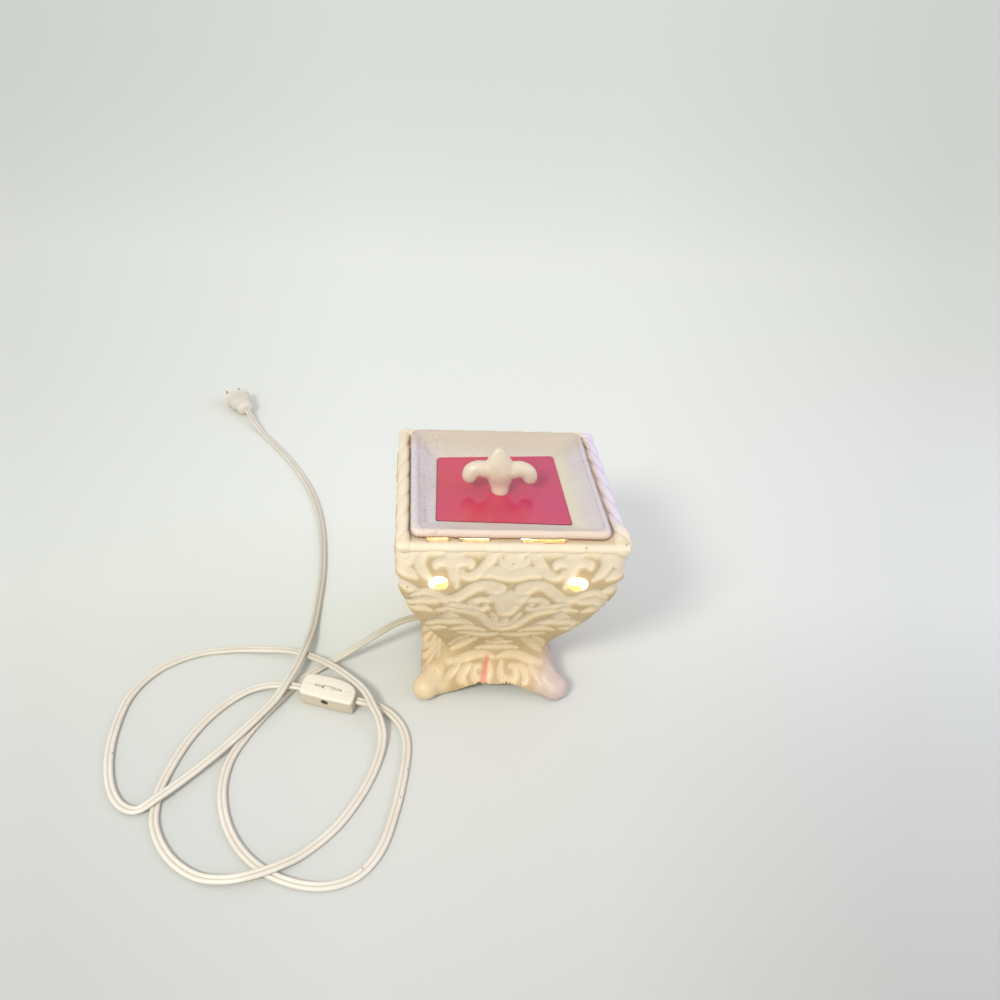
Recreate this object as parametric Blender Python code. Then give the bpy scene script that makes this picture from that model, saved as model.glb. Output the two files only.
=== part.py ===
"""Electric wax warmer: a square ceramic body with a twisted rope rim stands on four ball feet and
holds a globe lamp under a lift-off wax dish. Its flat mains lead carries a thumbwheel switch.

Metres, +Z up. The origin is the centre of the square that the four foot pads rest on.
"""
import math

import bmesh
import bpy
import mathutils
from mathutils import Vector

MM = 0.001
GAP = 0.3 * MM                      # air between pieces that touch
AXIS_X, AXIS_Y, AXIS_Z = Vector((1, 0, 0)), Vector((0, 1, 0)), Vector((0, 0, 1))

# Dish, which the rest of the body is sized round: lip, sloping walls and pool floor
DISH_HALF = 57.5 * MM
DISH_CORNER = 5 * MM
LIP_THICK = 5.2 * MM
LIP_BEARING = 3.4 * MM              # width of the lip that rests on the ledge of the body
LIP_ROOM = 1 * MM                   # between the lip and the rope moulding outside it
RIM_FLAT = 3.5 * MM
WALL_THICK = 5 * MM
POOL_HALF, POOL_CORNER, POOL_SHIFT = 38.8 * MM, 4 * MM, -2 * MM
FLOOR_HALF = 33 * MM
WAX_BELOW_RIM, WAX_DEPTH = 7.5 * MM, 8.6 * MM

# The fleur-de-lis that stands in the dish, measured above the wax
FLEUR_HEIGHT, FLEUR_PLACE, FLEUR_LEAN = 31 * MM, Vector((-2.9, -3.2, 0)) * MM, -0.09
PETAL_RADIUS, STEM_RADIUS = 10.1 * MM, 5.4 * MM
PETAL_SHAPE = [(0.03, 0.56), (0.1, 0.6), (0.19, 0.74), (0.29, 0.91), (0.42, 0.97), (0.6, 1), (0.74, 0.78),
               (0.85, 0.55), (0.955, 0.28)]          # shares of the height and of the radius
FLEUR_DEPTH = 0.66                  # thickness of the petals as a share of their width
ARM_RADIUS = 5 * MM
ARM_PLACE, ARM_HEIGHT, ARM_CURL = 12.5 * MM, 11 * MM, 6.1 * MM
ARM_START, ARM_SWEEP = 150, 190     # degrees of the circle that an arm follows
ARM_SWELL = (0.9, 0.94, 0.98, 1, 1, 0.99, 0.97, 0.9, 0.72, 0.3)

# Rope moulding on three sides of the rim, just outside the dish, a plain roll on the fourth, and knobs
ROPE_RADIUS, ROPE_GROOVE, ROPE_LOBE = 3.9 * MM, 1.5 * MM, 19.2 * MM
ROPE_PLACE, ROPE_ABOVE = DISH_HALF + LIP_ROOM + ROPE_RADIUS, 0.3 * MM
ROPE_STEPS, ROPE_SIDES = 3, 8
ROLL_WIDTH, ROLL_HEIGHT, ROLL_STEPS = 4 * MM, 2.2 * MM, 12
ROLL_LUMP, ROLL_WAVE = 0.5 * MM, 2.2     # how much the roll swells, and radians of its wave to a step
KNOB_RADIUS = 5.6 * MM

# Ceramic body: heights, and half widths of its bellied walls as shares of the half width at the rim
RIM_HALF = ROPE_PLACE + 3.2 * MM
BODY_SHAPE = [(1.3, 0.6707), (6, 0.7012), (11, 0.6921), (16, 0.6311), (22, 0.5701), (29, 0.5427),
              (37, 0.564), (48, 0.6433), (65, 0.7622), (84, 0.8796), (101, 0.9604), (118, 1.0046),
              (129, 1.0122), (138.6, 1)]
BODY_PROFILE = [(height * MM, share * RIM_HALF) for height, share in BODY_SHAPE]
BODY_CORNER = 8 * MM
BODY_WALL = 5.5 * MM
BODY_FLOOR_Z = 17 * MM              # underside of the floor that carries the lamp socket
BODY_FLOOR = 5 * MM
SKIRT_CORNER = 20 * MM              # inner corner radius below the floor, clear of the foot balls
LEDGE_THICK, LEDGE_SLOPE = 4 * MM, 4 * MM            # inward ledge round the mouth, under the dish's lip
VENT_DEPTH = 2.2 * MM
VENTS = ((-43, 12), (-22, 17), (17, 25))    # (place, length) in millimetres, front and rear
FOOT_RADIUS, FOOT_PLACE, FOOT_Z = 8.5 * MM, 0.6631 * RIM_HALF, 7.9 * MM
ARCH_HALF, ARCH_FLAT, ARCH_HEIGHT = FOOT_PLACE - 7 * MM, 10 * MM, 10 * MM
PAD_RADIUS, PAD_THICK = 4.5 * MM, 1.0 * MM
LIGHT_RADIUS, LIGHT_Z = 5.6 * MM, 114.5 * MM
LIGHT_PLACES = (-41.8 * MM, 38.6 * MM)

# Main scrolls and petals of the damask raised on every wall, each as (place from the wall's middle,
# height, half width) in millimetres; those beside the middle have a twin on its other side
RELIEF_HEIGHT, RELIEF_ROOT, RELIEF_CROWN = 1.1 * MM, 1.6 * MM, 0.5
SCROLLS = [
    [(0, 120.5, 2.2), (0, 128, 4.6), (0, 135, 4.2)],
    [(13.6, 135.5, 2.6), (15.5, 128.5, 2.6), (20, 122.4, 2.6), (27.5, 120.2, 2)],
    [(24.6, 127, 1.6), (29.5, 129.8, 2.7), (38.5, 129.8, 2.7), (43.4, 127, 1.6)],
    [(34, 135.4, 4), (34, 128.6, 3.2), (32, 112.5, 1.4)],
    [(6, 108, 3.2), (13.5, 112, 3.4), (21, 110.5, 3), (28, 103.6, 3), (36, 100, 2.8), (45, 104.8, 2.6),
     (54, 104.6, 1.4)],
    [(0, 84.5, 2.6), (0, 95, 6), (0, 106, 2)],
    [(30, 88, 1.2), (20, 85, 2.2), (12.5, 77.6, 2.2), (8, 70, 1.8), (2.4, 65.2, 1.5)],
    [(20.5, 70.8, 1.4), (28, 74, 2.7), (40, 74, 2.7), (47, 70.8, 1.4)],
    [(15.4, 49.2, 1.5), (20.5, 43.4, 2.7), (29.4, 32.4, 1.3)],
    [(2.6, 26.6, 1.5), (11, 28.4, 2.7), (29.6, 23.4, 1.3)]]

# Lamp socket, on a hollow threaded nipple through the floor
SOCKET_BASE, SOCKET_BASE_THICK = 15 * MM, 3.6 * MM
SOCKET_RADIUS, SOCKET_HEIGHT = 12.8 * MM, 30 * MM
SOCKET_BORE, SOCKET_WEB_Z, SOCKET_WEB = 7.3 * MM, 7.7 * MM, 4 * MM
NIPPLE_RADIUS, NIPPLE_BORE, NIPPLE_LENGTH = 4.9 * MM, 3.1 * MM, 19.3 * MM
WASHER_RADIUS, WASHER_THICK = 12 * MM, 1.2 * MM
NUT_ACROSS_FLATS, NUT_THICK = 14 * MM, 3.3 * MM
TERMINAL_HEAD, TERMINAL_HEAD_THICK = 2.8 * MM, 1.4 * MM
TERMINAL_SHANK, TERMINAL_SHANK_LENGTH, TERMINAL_Z = 1.3 * MM, 3.4 * MM, 8.7 * MM

# Candelabra screw cap and its shell: rounded thread of five turns
THREAD_RADIUS, THREAD_DEPTH, THREAD_PITCH, THREAD_TURNS = 5.95 * MM, 0.45 * MM, 2.54 * MM, 5
CAP_WALL = 0.5 * MM
CONTACT_RADIUS, CONTACT_HEIGHT = 2.2 * MM, 1.5 * MM

# Globe lamp
GLOBE_RADIUS, GLOBE_CENTRE = 25 * MM, 51 * MM        # centre above the tip of the cap
GLASS_WALL = 0.7 * MM
NECK_RADIUS, CAP_LENGTH = 4.5 * MM, 17 * MM
TIP_HEIGHT, INSULATOR_HEIGHT = 1.2 * MM, 2.4 * MM
STEM_FOOT, STEM_TOP, STEM_START, STEM_END = 3.5 * MM, 2.2 * MM, 11.4 * MM, 38 * MM
FILAMENT_SPAN, FILAMENT_Z, FILAMENT_RADIUS = 17 * MM, 50 * MM, 0.5 * MM
LAMP_WIRE = 0.35 * MM

# Flat two-core mains lead
LEAD_WIDTH, LEAD_THICK = 5.4 * MM, 2.7 * MM
LEAD_STEP = 26 * MM
LEAD_RUN_OUT = 4 * MM               # straight length at every end of the lead
CORE_RADIUS = 1.1 * MM
BUSH_Z = 29 * MM                    # height of the lead's hole, at the waist of the left wall
BUSH_SHANK, BUSH_HEAD, BUSH_HEAD_THICK = 4.9 * MM, 6.5 * MM, 2.5 * MM
BUSH_NOSE, BUSH_NOSE_LENGTH, BUSH_BARB = 3.7 * MM, 6 * MM, 5.7 * MM
BUSH_BARB_LENGTH = 2.4 * MM

# Switch on the lead: two halves that meet on the lead's middle plane
SWITCH_PLACE, SWITCH_TURN = (-110 * MM, -52.4 * MM), math.radians(-17)
SWITCH_LENGTH, SWITCH_WIDTH = 37.6 * MM, 18.5 * MM
SWITCH_ENDS = {(1, 1): 5.5 * MM, (-1, 1): 5.5 * MM, (-1, -1): 6.6 * MM, (1, -1): 8.6 * MM}
SWITCH_HEIGHT, SWITCH_KEEL = 13 * MM, 0.75           # keel: width of the underside as a share of the top
SWITCH_SHOULDER = 9 * MM            # half length of the part that keeps its full width
SWITCH_EDGE = 0.9 * MM
WHEEL_RADIUS, WHEEL_WIDTH, WHEEL_TEETH, WHEEL_TOOTH = 6 * MM, 3 * MM, 28, 0.45 * MM
WHEEL_AXLE_Z = 7.3 * MM
WHEEL_RUNNING = 0.08 * MM            # air round the axle
SWITCH_INLET_Z = 6.9 * MM
SLOT_LENGTH = 14.5 * MM
SWITCH_SCREW, SWITCH_SCREW_HEAD, SWITCH_SCREW_HEAD_THICK = 1.3 * MM, 2.3 * MM, 1.4 * MM
SWITCH_RECESS = 3.2 * MM            # depth of the screw head's seat
STRIP_LENGTH, STRIP_HEIGHT, STRIP_THICK = 6.5 * MM, 3.4 * MM, 0.6 * MM

# Plug at the far end, with two flat blades
PLUG_PLACE, PLUG_TURN = (-242.4 * MM, 369.7 * MM), math.radians(118)
PLUG_WIDTH, PLUG_HEIGHT, FLANGE_THICK = 25 * MM, 17.6 * MM, 3 * MM
NECK_WIDTH, NECK_HEIGHT, PLUG_LENGTH = 16.9 * MM, 14.5 * MM, 29 * MM
BLADE_SPACING, BLADE_THICK, BLADE_LENGTH = 12.7 * MM, 1.5 * MM, 17.5 * MM
BLADE_WIDTHS = {"plug_blade_neutral": 7.9 * MM, "plug_blade_live": 6.3 * MM}
BLADE_HOLE, BLADE_HOLE_FROM_TIP, BLADE_ROOT = 1.6 * MM, 4.5 * MM, 6 * MM

# Heights that follow
BODY_TOP = BODY_PROFILE[-1][0]
FLOOR_TOP = BODY_FLOOR_Z + BODY_FLOOR
LIP_Z = BODY_TOP + GAP
RIM_Z = LIP_Z + LIP_THICK
WAX_Z = RIM_Z - WAX_BELOW_RIM
POOL_Z = WAX_Z - WAX_DEPTH - GAP
SOCKET_Z = FLOOR_TOP + GAP
WEB_TOP = SOCKET_Z + SOCKET_WEB_Z + SOCKET_WEB
CONTACT_Z = WEB_TOP + GAP
LAMP_Z = CONTACT_Z + CONTACT_HEIGHT + GAP
ROPE_Z = BODY_TOP + ROPE_ABOVE
MOUTH_HALF = DISH_HALF - LIP_BEARING
CAP_FOOT = TIP_HEIGHT + INSULATOR_HEIGHT             # lower end of the lamp's screw cap

# The lead's route, in millimetres: chosen points of its middle line
CORD_Z = 1.6
ROUTE_TO_SWITCH = [
    (-56, -1, 28.4), (-67, -3.5, 25.5), (-78, -8, 21), (-91, -12.6, 14), (-102, -16.3, 8),
    (-111, -19.6, 4), (-120, -25.2, 2), (-130.8, -35.5, CORD_Z), (-148.3, -61.9, CORD_Z),
    (-160.6, -85, CORD_Z), (-166.6, -102.7, CORD_Z), (-167.2, -123, CORD_Z), (-161.4, -144.2, CORD_Z),
    (-151, -161.5, CORD_Z), (-136.8, -174.5, CORD_Z), (-119, -182.8, CORD_Z), (-100.8, -184.9, CORD_Z),
    (-84.5, -179, CORD_Z), (-72.7, -163.7, CORD_Z), (-65, -138, CORD_Z), (-60, -110, CORD_Z),
    (-58.7, -88.7, CORD_Z), (-62.4, -74.9, 1.9), (-70.5, -64.8, 3.2), (-80, -60.2, 5.4)]
ROUTE_TO_PLUG = [
    (-139, -44.1, 6), (-150, -42.9, 4.9), (-162.6, -45.5, 3.2), (-173.6, -52.8, 1.8),
    (-185.3, -67.5, CORD_Z), (-194.3, -85.4, CORD_Z), (-200.6, -106.5, CORD_Z), (-203.4, -127, CORD_Z),
    (-200.4, -147.5, CORD_Z), (-188, -166.7, CORD_Z), (-171, -178.4, 1.8), (-155, -181.6, 3.6),
    (-141, -180, 5), (-128, -174.6, 4.2), (-115.5, -166, 1.9), (-99.7, -150.6, CORD_Z),
    (-89.1, -134.4, CORD_Z), (-81.1, -117.3, CORD_Z), (-75.6, -99.3, 1.9), (-73.9, -85, 4),
    (-76.4, -74.1, 7.8), (-81.1, -64, 9.6), (-87, -51.6, 9.8), (-97.6, -39, 8.8), (-110.6, -26.2, 7),
    (-124.9, -16, 5.3), (-141.2, -10, 5), (-160, -7.3, 3.2), (-181.7, -6.3, 1.8), (-206, -11, CORD_Z),
    (-227.9, -25.9, CORD_Z), (-240, -48, CORD_Z), (-242.5, -72.3, CORD_Z), (-240, -98, CORD_Z),
    (-233, -120, CORD_Z), (-223.6, -133.4, 1.8), (-212.6, -138.2, 3), (-202.9, -131.9, 5),
    (-188, -115, 4.1), (-175, -100, 4.8), (-164.6, -86, 5), (-153.7, -70.6, 5.8), (-144.2, -57, 7.8),
    (-139.3, -45.7, 9.2), (-134.4, -30.2, 8.8), (-131, -15.5, 8.6), (-128.5, 1.6, 6.4), (-127.3, 20, 2.8),
    (-126.6, 45, CORD_Z), (-126.5, 75, CORD_Z), (-128, 103, CORD_Z), (-131.5, 135, CORD_Z),
    (-138.5, 170.7, CORD_Z), (-147.5, 200, CORD_Z), (-159.5, 228, CORD_Z), (-174.5, 256.5, CORD_Z),
    (-191.4, 283.8, CORD_Z), (-205, 304, 1.9), (-216, 321, 4.6)]


def clear_scene():
    """Takes away whatever the scene held."""
    for thing in list(bpy.data.objects):
        bpy.data.objects.remove(thing)


def finish_of(name, colour, roughness, metallic=0.0, see_through=0.0, glow=0.0):
    """One Principled material."""
    material = bpy.data.materials.new(name)
    material.use_nodes = True
    shader = material.node_tree.nodes["Principled BSDF"]
    shader.inputs["Base Color"].default_value = (*colour, 1)
    shader.inputs["Roughness"].default_value = roughness
    shader.inputs["Metallic"].default_value = metallic
    shader.inputs["Transmission Weight"].default_value = see_through
    shader.inputs["Emission Color"].default_value = (*colour, 1)
    shader.inputs["Emission Strength"].default_value = glow
    return material


def add_object(name, mesh, material, parent=None, place=(0, 0, 0)):
    """Links one named piece, smooth but for its sharp edges."""
    mesh.shade_smooth()
    mesh.set_sharp_from_angle(angle=math.radians(38))
    piece = bpy.data.objects.new(name, mesh)
    bpy.context.scene.collection.objects.link(piece)
    if material:
        mesh.materials.append(material)
    piece.parent = parent
    piece.location = place
    return piece


def mesh_from(name, shape):
    """Closes a bmesh into a mesh whose faces point out."""
    bmesh.ops.recalc_face_normals(shape, faces=shape.faces)
    if shape.calc_volume(signed=True) < 0:
        bmesh.ops.reverse_faces(shape, faces=shape.faces)
    mesh = bpy.data.meshes.new(name)
    shape.to_mesh(mesh)
    shape.free()
    return mesh


def add_empty(name, place, turn=0.0):
    """A frame that pieces are placed in."""
    frame = bpy.data.objects.new(name, None)
    bpy.context.scene.collection.objects.link(frame)
    frame.location = place
    frame.rotation_euler = (0, 0, turn)
    return frame


def make_cutter(piece, group):
    """Turns a piece into a helper that only its group's Boolean uses."""
    piece.hide_render = True
    piece.display_type = 'WIRE'
    group.objects.link(piece)
    return piece


def new_group(name):
    """A collection that one Boolean reads."""
    group = bpy.data.collections.new(name)
    bpy.context.scene.collection.children.link(group)
    return group


def add_boolean(piece, group, operation):
    """Joins or cuts a piece with everything in a group."""
    modifier = piece.modifiers.new(group.name, 'BOOLEAN')
    modifier.operation = operation
    modifier.operand_type = 'COLLECTION'
    modifier.collection = group
    modifier.solver = 'EXACT'


def rounded_rectangle(half_x, half_y, radius, arc=4):
    """Points of a rectangle with round corners, anticlockwise, as (x, y)."""
    points = []
    for corner, (sign_x, sign_y) in enumerate(((1, 1), (-1, 1), (-1, -1), (1, -1))):
        for step in range(arc + 1):
            angle = math.radians(90) * (corner + step / arc)
            points.append((sign_x * (half_x - radius) + radius * math.cos(angle),
                           sign_y * (half_y - radius) + radius * math.sin(angle)))
    return points


def skin(shape, rings):
    """Extrudes the first ring of points through the others, corner for corner, and closes both ends."""
    corners = [shape.verts.new(point) for point in rings[0]]
    shape.faces.new(corners)
    for ring in rings[1:]:
        edges = [shape.edges.get(pair) for pair in zip(corners, corners[1:] + corners[:1])]
        grown = set(bmesh.ops.extrude_edge_only(shape, edges=edges)["geom"])
        corners = [next(edge.other_vert(corner) for edge in corner.link_edges
                        if edge.other_vert(corner) in grown) for corner in corners]
        for corner, point in zip(corners, ring):
            corner.co = point
    shape.faces.new(corners)
    return shape


def lofted(name, sections, arc=4):
    """A solid through level rounded rectangles, each given as (half x, half y, corner radius, height)."""
    rings = [[(x, y, height) for x, y in rounded_rectangle(half_x, half_y, radius, arc)]
             for half_x, half_y, radius, height in sections]
    return mesh_from(name, skin(bmesh.new(), rings))


def turned(name, profile, steps=24):
    """A solid turned about Z from (radius, height) points: a closed outline where it keeps off the axis."""
    shape = bmesh.new()
    points = [shape.verts.new((radius, 0, height)) for radius, height in profile]
    edges = [shape.edges.new(pair) for pair in zip(points, points[1:])]
    if profile[0][0] > 0 and profile[-1][0] > 0:
        edges.append(shape.edges.new((points[-1], points[0])))
    bmesh.ops.spin(shape, geom=points + edges, cent=(0, 0, 0), axis=(0, 0, 1),
                   angle=math.tau, steps=steps, use_merge=True)
    bmesh.ops.remove_doubles(shape, verts=shape.verts, dist=0.001 * MM)
    return mesh_from(name, shape)


def extruded(name, outline, axis, start, end):
    """A prism: an outline in the plane square to X or Y, as (along, height) points, between two places."""
    shape = bmesh.new()
    if axis == AXIS_Y:
        ring = [shape.verts.new((along, start, height)) for along, height in outline]
    else:
        ring = [shape.verts.new((start, along, height)) for along, height in outline]
    face = shape.faces.new(ring)
    grown = bmesh.ops.extrude_face_region(shape, geom=[face])["geom"]
    moved = [corner for corner in grown if isinstance(corner, bmesh.types.BMVert)]
    bmesh.ops.translate(shape, vec=axis * (end - start), verts=moved)
    return mesh_from(name, shape)


def box(name, low, high, edge=0.0, rounds=2):
    """A block between two corners, with its edges broken by a bevel where one is given."""
    shape = bmesh.new()
    size = Vector(high) - Vector(low)
    bmesh.ops.create_cube(shape, size=1)
    bmesh.ops.scale(shape, vec=size, verts=shape.verts)
    bmesh.ops.translate(shape, vec=Vector(low) + size / 2, verts=shape.verts)
    if edge:
        bmesh.ops.bevel(shape, geom=list(shape.edges), offset=edge, segments=rounds, profile=0.5,
                        affect='EDGES', material=-1)
    return mesh_from(name, shape)


def rod(name, radius, start, end, sides=20):
    """A cylinder from one point to another."""
    start, end = Vector(start), Vector(end)
    shape = bmesh.new()
    turn = (end - start).to_track_quat('Z', 'Y').to_matrix().to_4x4()
    bmesh.ops.create_cone(shape, cap_ends=True, segments=sides, radius1=radius, radius2=radius,
                          depth=(end - start).length,
                          matrix=mathutils.Matrix.Translation((start + end) / 2) @ turn)
    return mesh_from(name, shape)


def ball(name, radius, centre, sides=20):
    """A sphere."""
    shape = bmesh.new()
    bmesh.ops.create_uvsphere(shape, u_segments=sides, v_segments=sides // 2, radius=radius,
                              matrix=mathutils.Matrix.Translation(centre))
    return mesh_from(name, shape)


def smooth_path(route, step):
    """Points of a smooth curve through a route: each stretch is cut into equal pieces of about one step."""
    route = [Vector(point) for point in route]
    padded = [2 * route[0] - route[1]] + route + [2 * route[-1] - route[-2]]
    points = []
    for before, start, end, after in zip(padded, padded[1:], padded[2:], padded[3:]):
        length = (end - start).length
        lead_in = (end - before) * length / ((start - before).length + length)
        lead_out = (after - start) * length / ((after - end).length + length)
        pieces = max(1, round(length / step))
        for number in range(pieces):
            t = number / pieces
            points.append(start * (2 * t ** 3 - 3 * t ** 2 + 1) + lead_in * (t ** 3 - 2 * t ** 2 + t)
                          + end * (3 * t ** 2 - 2 * t ** 3) + lead_out * (t ** 3 - t ** 2))
    return points + [route[-1]]


def cord(name, points, radius, half_flat, material):
    """A lead along its points: flat side down where half_flat is given, round where it is nought."""
    curve = bpy.data.curves.new(name, 'CURVE')
    curve.dimensions = '3D'
    curve.twist_mode = 'Z_UP'
    curve.bevel_depth = radius
    curve.extrude = half_flat
    curve.bevel_resolution = 2
    curve.use_fill_caps = True
    spline = curve.splines.new('POLY')
    spline.points.add(len(points) - 1)
    for target, point in zip(spline.points, points):
        target.co = (*point, 1)
        target.tilt = math.radians(90)
    curve.materials.append(material)
    lead = bpy.data.objects.new(name, curve)
    bpy.context.scene.collection.objects.link(lead)
    return lead


def body_half(height):
    """Half width of the body's wall at a height, from a smooth curve through its profile."""
    heights = [point[0] for point in BODY_PROFILE]
    place = max(0, min(len(heights) - 2, sum(height >= step for step in heights) - 1))
    path = smooth_path([(half, 0, level) for level, half in BODY_PROFILE], 1.0)
    below, above = path[place], path[place + 1]
    share = (height - below.z) / (above.z - below.z)
    slope = [0.5 * (path[min(n + 1, len(path) - 1)].x - path[max(n - 1, 0)].x) for n in (place, place + 1)]
    return (below.x * (2 * share ** 3 - 3 * share ** 2 + 1) + slope[0] * (share ** 3 - 2 * share ** 2 + share)
            + above.x * (3 * share ** 2 - 2 * share ** 3) + slope[1] * (share ** 3 - share ** 2))


def body_sections(low, high, inset, corner, spacing):
    """Square sections of the body between two heights, drawn in by an inset."""
    count = max(2, round((high - low) / spacing))
    heights = [low + (high - low) * number / count for number in range(count + 1)]
    return [(body_half(height) - inset, body_half(height) - inset, corner, height) for height in heights]


def rope_bar(name, side, hand):
    """One straight length of two-strand rope on the rim: side turns it round the body."""
    half = ROPE_PLACE
    steps = ROPE_STEPS * round(2 * half / ROPE_LOBE)
    rings = []
    for number in range(steps + 1):
        along = -half + 2 * half * number / steps
        ring = []
        for point in range(ROPE_SIDES):
            angle = math.tau * point / ROPE_SIDES
            groove = 1 - abs(math.cos(angle - hand * math.pi * along / ROPE_LOBE))
            radius = ROPE_RADIUS - ROPE_GROOVE * groove
            ring.append((ROPE_PLACE + radius * math.cos(angle), along, ROPE_Z + radius * math.sin(angle)))
        rings.append(ring)
    shape = skin(bmesh.new(), rings)
    bmesh.ops.rotate(shape, cent=(0, 0, 0), matrix=mathutils.Matrix.Rotation(math.radians(90) * side, 3, 'Z'),
                     verts=shape.verts)
    return mesh_from(name, shape)


def roll_bar(name):
    """The plain roll along the front of the rim: low and broad, a little lumpy as it was pressed by hand."""
    rings = []
    for number in range(ROLL_STEPS + 1):
        along = -ROPE_PLACE + 2 * ROPE_PLACE * number / ROLL_STEPS
        height = ROLL_HEIGHT + ROLL_LUMP * math.sin(number * ROLL_WAVE)
        rings.append([(along, -ROPE_PLACE + ROLL_WIDTH * math.cos(angle), ROPE_Z + height * math.sin(angle))
                      for angle in (math.tau * point / ROPE_SIDES for point in range(ROPE_SIDES))])
    return mesh_from(name, skin(bmesh.new(), rings))


def scroll_bar(name, scroll, side, hand):
    """A raised stroke of the damask: a low bar that follows the wall, its root sunk in the clay."""
    points = [Vector((body_half(height * MM), hand * place * MM, height * MM)) for place, height, _ in scroll]
    rings = []
    for number, (centre, (_, height, half)) in enumerate(zip(points, scroll)):
        lean = body_half((height + 1) * MM) - body_half((height - 1) * MM)
        out = Vector((2 * MM, 0, -lean)).normalized()
        ahead = points[min(number + 1, len(points) - 1)] - points[max(number - 1, 0)]
        aside = out.cross(ahead).normalized() * half * MM
        root, crown = centre - out * RELIEF_ROOT, centre + out * RELIEF_HEIGHT
        rings.append([root - aside, root + aside, crown + aside * RELIEF_CROWN, crown - aside * RELIEF_CROWN])
    shape = skin(bmesh.new(), rings)
    bmesh.ops.rotate(shape, cent=(0, 0, 0), matrix=mathutils.Matrix.Rotation(math.radians(90) * side, 3, 'Z'),
                     verts=shape.verts)
    return mesh_from(name, shape)


def arch_outline():
    """The opening between two feet: a flat crown that sweeps down to the floor in an S at both ends."""
    count = 14
    low = BODY_PROFILE[0][0] - 2 * GAP
    arch = []
    for number in range(count + 1):
        place = -ARCH_HALF + 2 * ARCH_HALF * number / count
        fall = max(0, (abs(place) - ARCH_FLAT) / (ARCH_HALF - ARCH_FLAT))
        arch.append((place, low + (ARCH_HEIGHT - low) * 0.5 * (1 + math.cos(math.pi * fall))))
    return arch + [(ARCH_HALF, -ARCH_HEIGHT), (-ARCH_HALF, -ARCH_HEIGHT)]


def build_body(glaze):
    """The ceramic body: bellied walls, ball feet and rope rim in one casting, hollowed from both ends."""
    bottom = BODY_PROFILE[0][0]
    walls = lofted("ceramic_body", body_sections(bottom, BODY_TOP, 0, BODY_CORNER, 10.5 * MM))
    body = add_object("ceramic_body", walls, glaze)
    added, cut = new_group("body_added"), new_group("body_cut")
    corners = [(x, y) for x in (-1, 1) for y in (-1, 1)]
    for number, (x, y) in enumerate(corners):
        foot = (x * FOOT_PLACE, y * FOOT_PLACE, FOOT_Z)
        knob = (x * ROPE_PLACE, y * ROPE_PLACE, ROPE_Z)
        make_cutter(add_object(f"foot_ball_{number}", ball("foot", FOOT_RADIUS, foot, 16), None), added)
        make_cutter(add_object(f"rim_knob_{number}", ball("knob", KNOB_RADIUS, knob, 12), None), added)
    for side, hand in enumerate((1, -1, -1)):
        make_cutter(add_object(f"rope_{side}", rope_bar("rope", side, hand), None), added)
    make_cutter(add_object("rim_roll", roll_bar("rim_roll"), None), added)
    for side in range(4):
        for scroll in SCROLLS:
            for hand in (-1, 1) if scroll[0][0] else (1,):
                bar = scroll_bar("scroll", scroll, side, hand)
                make_cutter(add_object("scroll", bar, None), added)

    chamber = body_sections(FLOOR_TOP, BODY_TOP - LEDGE_THICK - LEDGE_SLOPE, BODY_WALL,
                            BODY_CORNER - BODY_WALL / 2, 18 * MM)
    chamber += [(MOUTH_HALF, MOUTH_HALF, DISH_CORNER, BODY_TOP - LEDGE_THICK),
                (MOUTH_HALF, MOUTH_HALF, DISH_CORNER, BODY_TOP + 10 * MM)]
    skirt = [(half, half, SKIRT_CORNER, height)
             for half, _, _, height in body_sections(bottom, BODY_FLOOR_Z, BODY_WALL, 0, 6 * MM)]
    skirt.insert(0, (skirt[0][0], skirt[0][0], SKIRT_CORNER, -5 * MM))
    make_cutter(add_object("chamber", lofted("chamber", chamber, 3), None), cut)
    make_cutter(add_object("skirt", lofted("skirt", skirt), None), cut)
    reach = RIM_HALF + 15 * MM
    plane = box("foot_plane", (-reach, -reach, -5 * MM), (reach, reach, bottom))
    make_cutter(add_object("foot_plane", plane, None), cut)
    for axis in (AXIS_X, AXIS_Y):
        name = "arch_along_x" if axis == AXIS_X else "arch_along_y"
        make_cutter(add_object(name, extruded(name, arch_outline(), axis, -reach, reach), None), cut)
        for place in LIGHT_PLACES:
            across = axis.yxz * place + AXIS_Z * LIGHT_Z
            hole = rod("light_hole", LIGHT_RADIUS, across - axis * reach, across + axis * reach, 14)
            make_cutter(add_object("light_hole", hole, None), cut)
    for side in (-1, 1):
        near, far = sorted((side * (MOUTH_HALF - 1.5 * MM), side * (ROPE_PLACE - ROPE_RADIUS + 1.5 * MM)))
        for place, length in VENTS:
            low = ((place - length / 2) * MM, near, BODY_TOP - VENT_DEPTH)
            high = ((place + length / 2) * MM, far, BODY_TOP + GAP)
            make_cutter(add_object("vent", box("vent", low, high), None), cut)
    low, high = AXIS_Z * (BODY_FLOOR_Z - 5 * MM), AXIS_Z * (FLOOR_TOP + 2 * MM)
    make_cutter(add_object("nipple_hole", rod("nipple_hole", NIPPLE_RADIUS + GAP, low, high), None), cut)
    wall, level = body_half(BUSH_Z), AXIS_Z * BUSH_Z
    outside, inside = level - AXIS_X * reach, level - AXIS_X * (wall - BODY_WALL - 5 * MM)
    make_cutter(add_object("bush_hole", rod("bush_hole", BUSH_SHANK + GAP, outside, inside), None), cut)
    seat = rod("bush_seat", BUSH_HEAD + 2 * GAP, outside, level - AXIS_X * (wall - GAP))
    make_cutter(add_object("bush_seat", seat, None), cut)
    add_boolean(body, added, 'UNION')
    add_boolean(body, cut, 'DIFFERENCE')
    return body


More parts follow.
